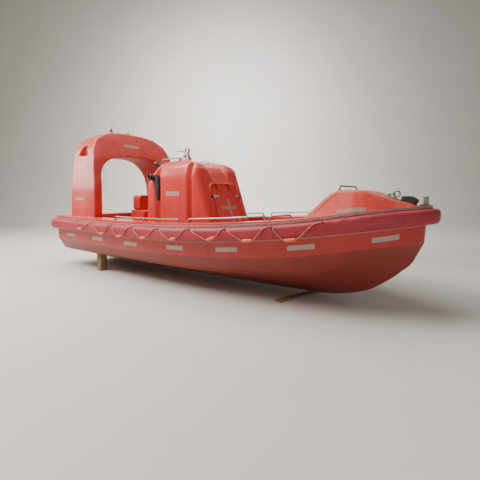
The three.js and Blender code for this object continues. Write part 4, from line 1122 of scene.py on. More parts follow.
# %% Wrinkles of the fender's cover
# how far each kind of wrinkle stands out, in millimetres
LOW_SWELL, TOP_PUCKER, BOW_DIAGONAL, QUARTER_UPRIGHT, LOW_SAG = 3.6, 2.0, 6.0, 3.6, 2.5
# x of the place where the cover is pulled and how far that spreads, at the bow and at the quarter
BOW_PULL, QUARTER_GATHER = (5250, 260), (60, 620)


def nearness(value, middle, width):
    """1 at the middle, and less to both sides of it."""
    return math.exp(-((value - middle) / width) ** 2)


def low_noise(x, y, z):
    return noise.noise(Vector((x, y, z)))


def cloth_shift(along, around, x):
    """How far the cover stands in or out, in millimetres, at a place along the boat and round the section."""
    soft = noise.fractal(Vector((along * 2.2, around * 2.4, 3.1)), 1.0, 2.0, 4) * LOW_SWELL
    pucker = math.sin(along * 95 + 4 * low_noise(along * 3, 0, 0))
    top_edge = TOP_PUCKER * pucker * nearness(around, 0.1, 0.07)
    pull = BOW_DIAGONAL * nearness(x, *BOW_PULL)
    diagonal = pull * math.sin(along * 40 + around * 9) * nearness(around, 0.2, 0.18)
    gather = math.sin(along * 120 + 5 * low_noise(along * 4, around * 2, 1.7))
    upright = QUARTER_UPRIGHT * nearness(x, *QUARTER_GATHER) * gather * nearness(around, 0.35, 0.3)
    sag = LOW_SAG * low_noise(along * 9, around * 1.5, 8.2) * nearness(around, 0.75, 0.2)
    return soft + top_edge + diagonal + upright + sag


print("the cover at the bow's pull stands out by", round(cloth_shift(6.0, 0.2, BOW_PULL[0]), 1), "mm")

# %% [markdown]
# The fender is a fat D in section and runs round the whole boat. The loft follows the hull's side, its flat
# back lies on the laminate, and every point of its skin is moved by the wrinkles. At the transom it turns
# the corner and ends in a rounded stub.

# %% Fender
FENDER_AROUND = 26
FENDER_BACK = 30
FENDER_BULGE = 96
SQUARENESS = 2 / 3.6
RETURN_LENGTH = 250
STUB_SIZE, STUB_RINGS = 0.45, 4
FENDER_SIDE_FROM_X = 80
FENDER_RETURN_RINGS, FENDER_CORNER_RINGS, FENDER_SIDE_RINGS, FENDER_BOW_RINGS = 14, 10, 230, 90


def fender_top(x):
    return sheer_z(x) - FENDER_DROP + height_at(FENDER_RISE, x)


def fender_height(x):
    return fender_top(x) - height_at(FENDER_FOOT, x)


def fender_stations():
    """Port half of the fender's path: path point, outward direction, x for the heights."""
    back = [-RETURN_LENGTH * (1 - k / FENDER_RETURN_RINGS) for k in range(FENDER_RETURN_RINGS)]
    rows = [((0, CORNER_Y + short), (-1, 0), 0) for short in back]
    for out in arc_points(0, 0, 1, CORNER_TURN, FENDER_CORNER_RINGS):
        rows.append(((CORNER + out[0] * CORNER, CORNER_Y + out[1] * CORNER), out, 0))
    side = spread(FENDER_SIDE_FROM_X, WELL_FORE_X, FENDER_SIDE_RINGS)
    rows += [(sheer_point(x, 0), sheer_out(x), x) for x in side + bow_stations(FENDER_BOW_RINGS)]
    return rows + [((SHEER.stem, 0), (1, 0), SHEER.stem)]


def fender_ring(path, out, x, along, size):
    top, height = fender_top(x), fender_height(x)
    points = []
    for k in range(FENDER_AROUND + 1):
        around = k / FENDER_AROUND
        a = math.pi / 2 - math.pi * around
        bulge = FENDER_BACK + FENDER_BULGE * abs(math.cos(a)) ** SQUARENESS
        rise = math.copysign(abs(math.sin(a)) ** SQUARENESS, math.sin(a)) * height / 2
        bulge += cloth_shift(along, around, x)
        middle = top - height / 2
        reach = 2 + (bulge - 2) * size
        points.append((path[0] + out[0] * reach, path[1] + out[1] * reach, middle + rise * size))
    for rise in (-0.5, 0.5):
        z = top - height / 2 + rise * height * size
        back = min(hull_side_y(max(x, 0), z) - half_breadth(SHEER, max(x, 0)), 0) * out[1] + 1
        points.append((path[0] + out[0] * back, path[1] + out[1] * back, z))
    return points


def make_fender():
    rows = fender_stations()
    rings, along = [], 0.0
    for i, (path, out, x) in enumerate(rows):
        if i:
            along += math.dist(path, rows[i - 1][0]) * MM
        size = min(1.0, STUB_SIZE + (1 - STUB_SIZE) * math.sqrt(min(i / STUB_RINGS, 1)))
        rings.append(fender_ring(path, out, x, along, size))
    starboard = [[(x, -y, z) for x, y, z in ring] for ring in reversed(rings[:-1])]
    obj = piece("fender_body", skin(rings + starboard), FENDER_COVER, "fender_cover", hard_angle=60,
                stands_for=("fender",))


make_fender()

# %% [markdown]
# The lifeline is a limp 12 mm rope that a swimmer can hold. It runs through straps on the fender's top edge
# and hangs in bights between them, each with a foam float for the hand. The route is set by a short list
# of straps and floats. A smooth curve goes through them, lies on the fender where it passes over its
# crown and hangs clear below.

# %% Route of the lifelines
ROPE_R, FLOAT_R, FLOAT_HALF = 6, 19, 56
EYES = (980, 1470, 2012, 2496, 3034, 3572, 4086, 4626, 5128)
EYE_DEPTH = 10
# middle of a float, depth below the fender's top at its aft end and at its fore end
FLOATS = ((1146, 122, 117), (1780, 164, 141), (2225, 166, 154), (2758, 156, 135), (3323, 148, 126),
          (3913, 140, 107), (4371, 151, 151), (4828, 167, 165))
# share of the way from a strap to a float's end, share of the drop
ROPE_FALL = ((0, 0), (0.3, 0.36), (0.64, 0.7))
ROPE_RISE = ((0, 0), (0.34, 0.1), (0.6, 0.44))


def fender_reach(x, depth):
    """How far the fender stands out from the hull's side at a depth below its top."""
    half = fender_height(x) / 2
    rise = min(abs(half - depth) / half, 1) ** (1 / SQUARENESS)
    return FENDER_BACK + FENDER_BULGE * math.sqrt(1 - rise * rise) ** SQUARENESS


def on_fender(x, depth, clear, side):
    """A point clear of the fender: on its upper half it follows the cover, and lower down it hangs free."""
    crown = FENDER_BACK + FENDER_BULGE + ROPE_R + 1 if depth > fender_height(x) / 2 else 0
    out = max(fender_reach(x, depth) + clear, crown)
    return Vector((*sheer_point(x, out, side), fender_top(x) - depth))


def leg(shape, eye_x, end_x, depth):
    return [(eye_x + (end_x - eye_x) * along, EYE_DEPTH + (depth - EYE_DEPTH) * down, ROPE_R + 1)
            for along, down in shape]


def lifeline_route(side):
    spots = []
    for i, (x, aft_depth, fore_depth) in enumerate(FLOATS):
        spots += leg(ROPE_FALL, EYES[i], x - FLOAT_HALF, aft_depth)
        spots += [(x - FLOAT_HALF, aft_depth, FLOAT_R + 1), (x + FLOAT_HALF, fore_depth, FLOAT_R + 1)]
        spots += reversed(leg(ROPE_RISE, EYES[i + 1], x + FLOAT_HALF, fore_depth)[1:])
    spots.append((EYES[-1], EYE_DEPTH, ROPE_R + 1))
    return [on_fender(x, depth, clear, side) for x, depth, clear in spots]


def smooth_path(points, step):
    """A smooth curve through points, with a point about every step millimetres."""
    ends = [points[0] * 2 - points[1], *points, points[-1] * 2 - points[-2]]
    path = []
    for p0, p1, p2, p3 in zip(ends, ends[1:], ends[2:], ends[3:]):
        gaps = [max((b - a).length, 1e-3) ** 0.5 for a, b in ((p0, p1), (p1, p2), (p2, p3))]
        slope_in = (p1 - p0) / gaps[0] - (p2 - p0) / (gaps[0] + gaps[1]) + (p2 - p1) / gaps[1]
        slope_out = (p2 - p1) / gaps[1] - (p3 - p1) / (gaps[1] + gaps[2]) + (p3 - p2) / gaps[2]
        slope_in, slope_out = slope_in * gaps[1], slope_out * gaps[1]
        count = max(int((p2 - p1).length / step), 1)
        for k in range(count):
            t = k / count
            path.append(p1 * (2 * t ** 3 - 3 * t * t + 1) + slope_in * (t ** 3 - 2 * t * t + t)
                        + p2 * (3 * t * t - 2 * t ** 3) + slope_out * (t ** 3 - t * t))
    return path + [points[-1]]


def path_length(path):
    return sum((b - a).length for a, b in zip(path, path[1:])) * MM


print("spots on one route:", len(lifeline_route(1)))

# %% [markdown]
# The rope is a tube along the route, and its strands come from its own UV map: metres along, turns around.
# The floats are lathe shapes, and the straps are small lofts over the rope.

# %% Lifelines
ROPE_STEP, ROPE_SIDES = 9, 12
STRAP_WIDTH, STRAP_THICK = 15, 2.4
# depth below the fender's top and clearance from its skin, along a strap
STRAP_COURSE = ((2, -2), (3, 5), (7, 15), (13, 15), (20, 8), (30, 0.5), (38, -2))


def rope_shape(path, radius):
    """A tube with a UV map: metres along the rope and turns around it."""
    sides = ROPE_SIDES
    verts, faces = tube(path, radius, sides)
    runs = [0.0]
    for a, b in zip(path, path[1:]):
        runs.append(runs[-1] + (b - a).length * MM)
    uvs = []
    for face in faces[:-2]:
        ring, corner = face[0] // sides, face[0] % sides
        near, far = runs[ring], runs[ring + 1]
        uvs.append(((near, corner / sides), (near, (corner + 1) / sides),
                    (far, (corner + 1) / sides), (far, corner / sides)))
    uvs += [[(0.0, 0.0)] * sides, [(runs[-1], 0.0)] * sides]
    return verts, faces, uvs


def float_shape(x, aft_depth, fore_depth, side):
    ends = [on_fender(x + shift, depth, FLOAT_R + 1, side)
            for shift, depth in ((-FLOAT_HALF, aft_depth), (FLOAT_HALF, fore_depth))]
    full = (ends[1] - ends[0]).length
    profile = [(0, 9), (3, 15), (10, 18.4), (20, FLOAT_R), (full / 2, FLOAT_R - 0.6)]
    profile += [(full - along, radius) for along, radius in reversed(profile[:-1])]
    return turned(ends[0], ends[1] - ends[0], profile, 24)


def strap_shape(x, side):
    """A webbing strap over the rope, from under the deck's edge down to the fender's shoulder."""
    half, rings = STRAP_WIDTH / 2, []
    for depth, clear in STRAP_COURSE:
        ring = []
        for shift, rise in ((-half, 0), (half, 0), (half, STRAP_THICK), (-half, STRAP_THICK)):
            out = fender_reach(x, depth) + clear + rise
            ring.append((*sheer_point(x + shift, out, side), fender_top(x) - depth + rise * 0.5))
        rings.append(ring)
    return skin(rings)


def make_lifeline(name, side):
    path = smooth_path(lifeline_route(side), ROPE_STEP)
    rope = piece("lifeline_rope_" + name, rope_shape(path, ROPE_R), ROPE, "rope", hard_angle=80,
                 stands_for=("lifeline_" + name,))
    floats = piece("lifeline_floats_" + name, together([float_shape(*row, side) for row in FLOATS]),
                   FOAM_FLOAT, "fender_cover", hard_angle=50)
    straps = piece("lifeline_straps_" + name, together([strap_shape(x, side) for x in EYES]),
                   BLACK_RUBBER, "black_rubber")
    metres = [Vector(place(p)) for p in path]
    length = path_length(path)
    print(rope.name, round(length, 2), "m, floats:", len(FLOATS))


SIDES = (("port", 1), ("starboard", -1))
for side_name, side_sign in SIDES:
    make_lifeline(side_name, side_sign)

# %% [markdown]
# The righting arch turns the boat upright after a capsize, so it is big and full of foam: two legs that
# lean in and a broad crown. It is carved: its side view is crossed with its front view, then the
# tapering opening for the crew and the shallow pockets on its sides are cut out.

# %% Righting arch
ARCH_SIDE = [[360, 915], [358, 1560, 300], [392, 1960, 300], [462, 2240, 200], [590, 2500, 110],
             [840, 2500, 60], [920, 2300, 300], [1040, 1960, 300], [1105, 1500, 300], [1105, 915]]
ARCH_FRONT_HALF = [[955, 900], [940, 1400], [912, 1840, 400], [878, 2105, 240], [778, 2305, 220],
                   [556, 2432, 300], [270, 2484, 200]]
ARCH_TOP_Z = 2494
ARCH_X_SPAN, ARCH_Y_SPAN = (300, 1200), (-1000, 1000)
ARCH_VOXEL, ARCH_ROUNDS = 10, 14
# x, half breadth, z where the curve springs, z of its top and squareness, at the aft and the fore face
ARCH_OPENING = ((1160, 792, 1500, 2024, 3.3), (300, 758, 1280, 2040, 2.3))
OPENING_FOOT_Z = 800
# x of the aft and the fore edge and z, at the pocket's foot and at its top
ARCH_POCKET = ((560, 835, 2008), (640, 745, 2185))
POCKET_FLOOR_Y = -796
ARCH_MIDDLE, FACES_INWARD = (700, 0, 1450), 0.35


def mirrored_outline(half, middle):
    """A half outline, a point on the centre line, and the other half."""
    return [*half, middle, *([-a, *rest] for a, *rest in reversed(half))]


def opening_ring(x, half, spring, top, squareness, steps=36):
    power = 2 / squareness
    ring = [(x, half, OPENING_FOOT_Z)]
    for k in range(steps + 1):
        a = math.pi * k / steps
        across = math.copysign(abs(math.cos(a)) ** power, math.cos(a))
        ring.append((x, half * across, spring + (top - spring) * abs(math.sin(a)) ** power))
    return ring + [(x, -half, OPENING_FOOT_Z)]


def make_arch():
    front = prism("x", rounded(mirrored_outline(ARCH_FRONT_HALF, [0, ARCH_TOP_Z])), *ARCH_X_SPAN)
    opening = skin([opening_ring(*row) for row in ARCH_OPENING])
    outside = ARCH_Y_SPAN[0]
    pocket = skin([[(x, outside, z), (x, POCKET_FLOOR_Y, z), (far, POCKET_FLOOR_Y, z), (far, outside, z)]
                   for x, far, z in ARCH_POCKET])
    obj = carved(rough(prism("y", rounded(ARCH_SIDE), *ARCH_Y_SPAN)),
                 [("INTERSECT", front), ("DIFFERENCE", opening), ("DIFFERENCE", pocket),
                  ("DIFFERENCE", other_side(pocket))])
    moulded("arch_moulding", obj, ARCH_VOXEL, ARCH_ROUNDS, ARCH_COAT, "gelcoat", "righting_arch")
    # the faces that turn in towards the opening take the darker inner coat, painted shade
    obj.data.materials.append(INNER_SHADED_COAT)
    middle = Vector(place(ARCH_MIDDLE))
    for face in obj.data.polygons:
        inward = (middle - face.center) * Vector((0, 1, 1))
        face.material_index = int(face.normal.dot(inward.normalized()) > FACES_INWARD)
    return obj


arch = make_arch()

# %% [markdown]
# The console carries the wheel on its aft side and the lifting hook on its roof. It is drawn by its side,
# front and plan views, as a designer would. Its front leans aft and the hatch lies in that sloping plane,
# so one helper takes a point from the plane to the boat.

# %% Views of the console
HATCH_CENTRE = Vector((3265, 0, 1100))
HATCH_LEAN = math.radians(19)
HATCH_HALF, HATCH_BELOW, HATCH_ABOVE, HATCH_CORNER = 305, 345, 368, 90
# operation, growth of the hatch's outline, low and high level: the raised frame, the recess, the way in
HATCH_CUTS = (("UNION", 48, -60, 12), ("DIFFERENCE", 5, -17, 100), ("DIFFERENCE", -30, -400, 100))


def console_front_x(z):
    return HATCH_CENTRE.x - (z - HATCH_CENTRE.z) * math.tan(HATCH_LEAN)


CONSOLE_SIDE = [[1936, 545], [1938, 860], [1962, 1510, 90], [2110, 1690, 60], [2200, 1822, 60],
                [2480, 1862, 100], [2740, 1856, 160], [2950, 1800, 160], [3078, 1680, 120],
                [console_front_x(1520), 1520, 100], [console_front_x(545), 545]]
CONSOLE_FRONT_HALF = [[560, 500], [548, 950], [526, 1560, 300], [462, 1800, 160], [350, 1864, 80],
                      [225, 1862, 50], [120, 1800, 40]]
CONSOLE_VALLEY_Z = 1794
CONSOLE_PLAN = [[1926, -600, 90], [3520, -480], [3520, 480], [1926, 600, 90]]
CONSOLE_FACE = [[-515, -1800], [-515, 0, 120], [515, 0, 120], [515, -1800]]
CONSOLE_X_SPAN, CONSOLE_Y_SPAN, CONSOLE_Z_SPAN = (1800, 3600), (-600, 600), (480, 1900)
CONSOLE_FACE_SPAN = (-900, 1800)
CONSOLE_GROOVES = ((2100, 2270), (2840, 2960))
# the valley on the brow over the hatch: x and z on its line, lean of its plane, depth, half breadth
BROW = ((2660, 1860, 4, 8, 200), (2800, 1848, 10, 40, 214), (2950, 1798, 28, 58, 216),
        (3060, 1690, 50, 56, 210), (3118, 1560, 68, 30, 190), (3142, 1500, 71, 4, 170))
GROOVE_SLOPE_SHARE = 0.65
GROOVE_MOUTH_HALF = ((572, 480), (534, 1560), (470, 1800), (400, 1900))
GROOVE_FLOOR_HALF = ((462, 480), (456, 1560), (400, 1790), (392, 1900))
CONSOLE_ROOM_SIDE = [[2000, 480], [2000, 1400], [2080, 1500, 60], [2400, 1680, 60], [2900, 1680, 60],
                     [3010, 1550, 60], [3280, 800], [3280, 480]]
CONSOLE_ROOM_SPAN = (-396, 396)


def on_hatch(point):
    """From the hatch's own plane (across, up the slope, out of it) to the boat."""
    across, up, out = point
    lean, rise = math.sin(HATCH_LEAN), math.cos(HATCH_LEAN)
    return (HATCH_CENTRE.x - lean * up + rise * out, across, HATCH_CENTRE.z + rise * up + lean * out)


def hatch_shape(shape):
    verts, faces = shape
    return [on_hatch(p) for p in verts], faces


def hatch_outline(grow, steps=10):
    half, low, high = HATCH_HALF + grow, -HATCH_BELOW - grow, HATCH_ABOVE + grow
    corner = HATCH_CORNER + grow
    return rounded([[-half, low, corner], [half, low, corner], [half, high, corner], [-half, high, corner]],
                   steps)


def groove_shape(start, end):
    def ring(x, half):
        return [(x, y, z) for y, z in (*half, (640, 1900), (640, 480))]

    return skin([ring(start, GROOVE_MOUTH_HALF),
                 ring(start + (end - start) * GROOVE_SLOPE_SHARE, GROOVE_FLOOR_HALF),
                 ring(end, GROOVE_FLOOR_HALF)])


def brow_shape():
    rings = []
    for x, z, lean, depth, half in BROW:
        out_x, out_z = math.sin(math.radians(lean)), math.cos(math.radians(lean))
        section = ((-half, -depth), (half, -depth), (half + 50, 60), (-half - 50, 60))
        rings.append([(x + out_x * out, across, z + out_z * out) for across, out in section])
    return skin(rings)


print("points on the hatch's outline:", len(hatch_outline(0)))

# %% [markdown]
# Two grooves run down each side of the console, a shallow valley runs down its front, and a raised frame
# surrounds the front hatch. The body is carved from the three views and softened. Then the grooves, which
# are wedge shaped lofts, the frame and the room inside are carved too. The room shows when the hatch is open.

# %% Console
FIRST_VOXEL, FIRST_ROUNDS, LAST_VOXEL, LAST_ROUNDS = 15, 24, 12.6, 4


def make_console():
    front = mirrored_outline(CONSOLE_FRONT_HALF, [0, CONSOLE_VALLEY_Z])
    steps = [("INTERSECT", prism("x", rounded(front), *CONSOLE_X_SPAN)),
             ("INTERSECT", prism("z", rounded(CONSOLE_PLAN), *CONSOLE_Z_SPAN)),
             ("INTERSECT", hatch_shape(prism("y", rounded(CONSOLE_FACE), *CONSOLE_FACE_SPAN))),
             ("DIFFERENCE", brow_shape())]
    obj = carved(rough(prism("y", rounded(CONSOLE_SIDE), *CONSOLE_Y_SPAN)), steps)
    soften(obj, FIRST_VOXEL, FIRST_ROUNDS)
    steps = []
    for start, end in CONSOLE_GROOVES:
        groove = groove_shape(start, end)
        steps += [("DIFFERENCE", groove), ("DIFFERENCE", other_side(groove))]
    for operation, grow, low, high in HATCH_CUTS:
        steps.append((operation, hatch_shape(prism("z", hatch_outline(grow), low, high))))
    steps.append(("DIFFERENCE", prism("y", rounded(CONSOLE_ROOM_SIDE), *CONSOLE_ROOM_SPAN)))
    carved(obj, steps)
    return moulded("console_moulding", obj, LAST_VOXEL, LAST_ROUNDS, GELCOAT, "gelcoat", "console_body")


console = make_console()

# %% [markdown]
# The foredeck trunk is the raised box before the cockpit. It narrows towards the bow and its top slopes
# down. A loft through a short table of sections gives its flats, and the voxel step rounds
# the shoulders.

# %% Foredeck trunk
# x, half breadth at the deck, half breadth of the top, top z
TRUNK_STATIONS = ((4880, 720, 690, 1075), (4940, 702, 610, 1160), (5010, 680, 510, 1262),
                  (5080, 655, 430, 1335), (5140, 630, 400, 1356), (5340, 545, 370, 1360),
                  (5430, 495, 345, 1348), (5560, 405, 290, 1300), (5720, 280, 190, 1238),
                  (5860, 160, 90, 1212), (5905, 105, 50, 1204))
TRUNK_SINK, TRUNK_SHOULDER = 25, 34


def trunk_ring(x, base, top, top_z):
    base_z = deck_z(x) - TRUNK_SINK
    soft = min(TRUNK_SHOULDER, (top_z - base_z) * 0.4)
    half = [(base, base_z), (top + soft * 0.55, top_z - soft), (top + soft * 0.05, top_z - soft * 0.3),
            (top - soft * 0.9, top_z), (top * 0.45, top_z + soft * 0.15)]
    return [(x, y, z) for y, z in half] + [(x, -y, z) for y, z in reversed(half)]


trunk_loft = rough(skin([trunk_ring(*row) for row in TRUNK_STATIONS]))
trunk = moulded("trunk_moulding", trunk_loft, voxel_mm=9, rounds=30, finish=FOREDECK_LIT_COAT, slot="gelcoat",
                stands_for="foredeck_trunk")

# %% [markdown]
# The hatch lid is a tray moulding: a flat panel with a soft edge. It rides on its own body, so it swings
# with its hinge. It is drawn in the plane of the console's sloping front and then leaned back with it.

# %% Hatch lid
# level out of the hatch's plane and growth of its outline
LID_LEVELS = ((-12, -4), (-12, 0), (-11, 0), (8, 0), (11, -1.5), (12, -5), (12, -22), (11, -26), (9.5, -30))


def hatch_loop(out, grow):
    return [on_hatch((across, up, out)) for across, up in hatch_outline(grow, 8)]


lid = piece("hatch_lid", skin([hatch_loop(*level) for level in LID_LEVELS]), GELCOAT, "gelcoat", "hatch", 35,
            ("console_hatch",))

# %% [markdown]
# The frame about the hatch has a round bead, outside the lid and clear of its hinge barrels. It is a ring
# of outlines of the hatch, each a little larger or higher than the one before.

# %% Bead about the hatch
BEAD_GROW, BEAD_OUT, BEAD_ROUND, BEAD_SIDES = 33, 8, 12, 12

bead_turns = [math.tau * k / BEAD_SIDES for k in range(BEAD_SIDES)]
bead_loops = [hatch_loop(BEAD_OUT + BEAD_ROUND * math.sin(a), BEAD_GROW + BEAD_ROUND * math.cos(a))
              for a in bead_turns]
piece("hatch_frame_bead", skin(bead_loops, closed_run=True), GELCOAT, "gelcoat", hard_angle=60)

# %% [markdown]
# Screws and bolts come in rows. One Geometry Nodes tree sets a small head at an even spacing along any
# path, turned to face outward, with a slight seeded difference in size. The rows are then made real,
# so that each row is one plain mesh.

# %% Rows of screws
HEAD_SIDES = 10


def make_row_tree():
    tree = bpy.data.node_groups.new("fastener_row", "GeometryNodeTree")
    sockets = (("Geometry", "Geometry", None), ("Spacing", "Float", 0.1), ("Head Radius", "Float", 0.006),
               ("Head Height", "Float", 0.004), ("Seed", "Int", 5), ("Finish", "Material", None))
    for label, kind, value in sockets:
        socket = tree.interface.new_socket(label, in_out="INPUT", socket_type="NodeSocket" + kind)
        if value is not None:
            socket.default_value = value
    tree.interface.new_socket("Geometry", in_out="OUTPUT", socket_type="NodeSocketGeometry")
    given, out = tree.nodes.new("NodeGroupInput").outputs, tree.nodes.new("NodeGroupOutput")
    path = add_node(tree, "GeometryNodeMeshToCurve", {"Mesh": given["Geometry"]})
    spots = add_node(tree, "GeometryNodeCurveToPoints",
                     {"Curve": path.outputs[0], "Length": given["Spacing"]}, mode="LENGTH")
    top = math_node(tree, "MULTIPLY", given["Head Radius"], 0.62)
    head = add_node(tree, "GeometryNodeMeshCone",
                    {"Vertices": HEAD_SIDES, "Radius Top": top, "Radius Bottom": given["Head Radius"],
                     "Depth": given["Head Height"]})
    facing = add_node(tree, "GeometryNodeInputNamedAttribute", {"Name": "facing"},
                      data_type="FLOAT_VECTOR")
    turn = add_node(tree, "FunctionNodeAlignRotationToVector", {"Vector": facing.outputs["Attribute"]},
                    axis="Z")
    size = add_node(tree, "FunctionNodeRandomValue", {2: 0.92, 3: 1.06, "Seed": given["Seed"]})
    heads = add_node(tree, "GeometryNodeInstanceOnPoints",
                     {"Points": spots.outputs["Points"], "Instance": head.outputs["Mesh"],
                      "Rotation": turn.outputs[0], "Scale": size.outputs[1]})
    real = add_node(tree, "GeometryNodeRealizeInstances", {"Geometry": heads.outputs[0]})
    dressed = add_node(tree, "GeometryNodeSetMaterial",
                       {"Geometry": real.outputs[0], "Material": given["Finish"]})
    tree.links.new(dressed.outputs[0], out.inputs["Geometry"])
    return tree


ROW_TREE = make_row_tree()


def fastener_row(name, paths, finish, slot, **sizes):
    """Heads along paths. A path is a list of (place, facing) pairs; sizes are in millimetres."""
    mesh = bpy.data.meshes.new(name)
    spots = [spot for path in paths for spot in path]
    edges, start = [], 0
    for path in paths:
        edges += [(start + i, start + i + 1) for i in range(len(path) - 1)]
        start += len(path)
    mesh.from_pydata([place(p) for p, _ in spots], edges, [])
    facing = mesh.attributes.new("facing", "FLOAT_VECTOR", "POINT")
    facing.data.foreach_set("vector", [c for _, f in spots for c in f])
    obj = new_object(name, mesh)
    rows = obj.modifiers.new("rows", "NODES")
    rows.node_group = ROW_TREE
    values = {key.replace("_", " ").title(): value * MM for key, value in sizes.items()}
    values["Finish"] = finish
    for item in ROW_TREE.interface.items_tree:
        if item.in_out == "INPUT" and item.name in values:
            rows[item.identifier] = values[item.name]
    settle(obj)
    print(name, "heads:", len(obj.data.vertices) // (2 * HEAD_SIDES))
    dress(obj, finish, slot)

# %% [markdown]
# Along the deck's edge a grey batten clamps the fender's cover, and under the fender a thin metal strip
# holds its lower hem on the hull. Both are dull and screwed down. The batten is a run of loops round the
# whole outline, deeper at the bow than at the stern, and the strip is a low loft on the hull's side.

# %% Batten and hem strip
BATTEN_LOW = -7
BATTEN_AFT, BATTEN_FORE = 8, 25
BATTEN_DEEPENS = (2000, 3000)
# outward from the hull's side, share of the batten's height
BATTEN_SECTION = ((38, 0.0), (45, 0.0), (48, 0.12), (48.5, 0.5), (48, 0.85), (46, 1.0), (38, 1.0))
BATTEN_FACE, BATTEN_SCREW_SPAN = 48.5, (2600, 5980)
STRIP_DROP, STRIP_HIGH, STRIP_THICK = 14, 15, 3
STRIP_SPAN = (60, 5960)


def batten_top(x):
    return float(np.interp(x, BATTEN_DEEPENS, (BATTEN_AFT, BATTEN_FORE))) + height_at(FENDER_RISE, x)


def batten_low(x):
    return BATTEN_LOW + height_at(FENDER_RISE, x)


def outward_at(x, side):
    """The outward direction of the hull's side, level."""
    nx, ny = sheer_out(x)
    return nx, side * ny, 0


def make_batten():
    loops = []
    for out, share in BATTEN_SECTION:
        def z_of(x, share=share):
            return sheer_z(max(x, 0)) + batten_low(max(x, 0)) * (1 - share) + batten_top(x) * share

        loops.append(full_loop(lifted(outer_loop(out), z_of)))
    piece("rim_batten", skin(loops, closed_run=True), BATTEN_GREY, "stainless", hard_angle=30)
    paths = []
    for side in (1, -1):
        path = []
        for x in np.linspace(*BATTEN_SCREW_SPAN, 70):
            z = sheer_z(x) + (batten_low(x) + batten_top(x)) / 2
            path.append(((*sheer_point(x, BATTEN_FACE, side), z), outward_at(x, side)))
        paths.append(path)
    fastener_row("batten_screws", paths, STAINLESS, "stainless", spacing=110, head_radius=5, head_height=4)


def on_topside(x, z, out, side):
    nx, ny = sheer_out(x)
    return (x + nx * out, side * (hull_side_y(x, z) + ny * out), z)


def make_hem_strip():
    shapes, paths = [], []
    for side in (1, -1):
        rings, path = [], []
        for x in np.linspace(*STRIP_SPAN, 90):
            middle = height_at(FENDER_FOOT, x) - STRIP_DROP
            ragged = 1.2 * noise.noise(Vector((x * 0.011, side, 0)))
            low, high = (middle + way * STRIP_HIGH / 2 + ragged for way in (-1, 1))
            rings.append([on_topside(x, z, out, side) for z, out in
                          ((low, -1), (low, STRIP_THICK - 1), (low + 2, STRIP_THICK),
                           (high - 2, STRIP_THICK), (high, STRIP_THICK - 1), (high, -1))])
            path.append((on_topside(x, middle + ragged, STRIP_THICK, side), outward_at(x, side)))
        shapes.append(skin(rings))
        paths.append(path)
    piece("fender_hem_strip", together(shapes), BATTEN_GREY, "stainless", hard_angle=30)
    fastener_row("hem_strip_screws", paths, STAINLESS, "stainless", spacing=140, head_radius=5,
                 head_height=4)


make_batten()
make_hem_strip()

# %% [markdown]
# Reflective tape is thin and follows whatever it is stuck on. Each strip starts as a flat grid in the air,
# every point of the grid is dropped onto the finished skin, and the sheet gets a hair's thickness. So a
# strip bends with the hull's side and lies on the crown of the arch.

# %% Reflective tape
TAPE_STEP, TAPE_SINK, RAY_RUN = 16, 0.4, 160
HULL_TAPE_SIZE = (300, 55)


def sheet_on(tree, centre, along, up, width, height, toward, lift=1.2):
    along, up, toward = (Vector(v).normalized() for v in (along, up, toward))
    columns, rows = max(round(width / TAPE_STEP), 1), max(round(height / TAPE_STEP), 1)
    top, under = [], []
    for j in range(rows + 1):
        for i in range(columns + 1):
            spot = Vector(centre) + along * (width * (i / columns - 0.5)) + up * (height * (j / rows - 0.5))
            hit, normal = landing(tree, spot - toward * RAY_RUN, toward)
            top.append(tuple(hit + normal * lift))
            under.append(tuple(hit - normal * TAPE_SINK))
    count = len(top)
    wide = columns + 1
    faces = []
    for j in range(rows):
        for i in range(columns):
            a = j * wide + i
            faces.append((a, a + 1, a + wide + 1, a + wide))
            faces.append((count + a, count + a + wide, count + a + wide + 1, count + a + 1))
    border = list(range(wide)) + [j * wide + columns for j in range(1, rows + 1)]
    border += [rows * wide + i for i in range(columns - 1, -1, -1)]
    border += [j * wide for j in range(rows - 1, 0, -1)]
    faces += [(a, count + a, count + b, b) for a, b in zip(border, border[1:] + border[:1])]
    return top + under, faces


# x and z of the middle of each strip on the hull's side
HULL_TAPES = ((517, 607), (1410, 605), (2280, 591), (3207, 615), (4020, 654), (4900, 732), (5680, 842))


def make_hull_tapes():
    tree = tree_of(hull)
    shapes = []
    for side in (1, -1):
        for x, z in HULL_TAPES:
            nx, ny = sheer_out(x)
            rise = (height_at(FENDER_FOOT, x + 100) - height_at(FENDER_FOOT, x - 100)) / 200
            along, inward = (ny, -side * nx, rise), (-nx, -side * ny, 0)
            shapes.append(sheet_on(tree, on_topside(x, z, 0, side), along, UP, *HULL_TAPE_SIZE, inward))
    piece("hull_tapes", together(shapes), TAPE, "white_paint", hard_angle=60)


# name, what carries it, and rows of centre, along, up, width, height, toward and whether on both sides
UPPER_TAPES = (
    ("arch_tapes", arch, (
        ((940, -50, 2238), (0, 1, 0), UP, 330, 60, (-1, 0, 0), False),
        ((645, -960, 1245), (1, 0, 0.02), UP, 310, 50, (0, 1, 0), True),
        ((680, -900, 1818), (1, 0, 0.03), UP, 270, 38, (0, 1, 0), True))),
    ("console_tapes", console, (((2560, -530, 1332), (1, 0, 0), UP, 300, 67, (0, 1, 0), True),)),
    ("trunk_tapes", trunk, (((5350, -540, 1150), (1, 0.42, 0.12), (0, 0.35, 1), 310, 46,
                             (-0.25, 0.9, -0.3), True),)),
)


def make_upper_tapes():
    for name, carrier, rows in UPPER_TAPES:
        tree = tree_of(carrier)
        shapes = []
        for *row, mirrored in rows:
            shape = sheet_on(tree, *row)
            shapes.append(both_sides(shape) if mirrored else shape)
        piece(name, together(shapes), TAPE, "white_paint", hard_angle=60)


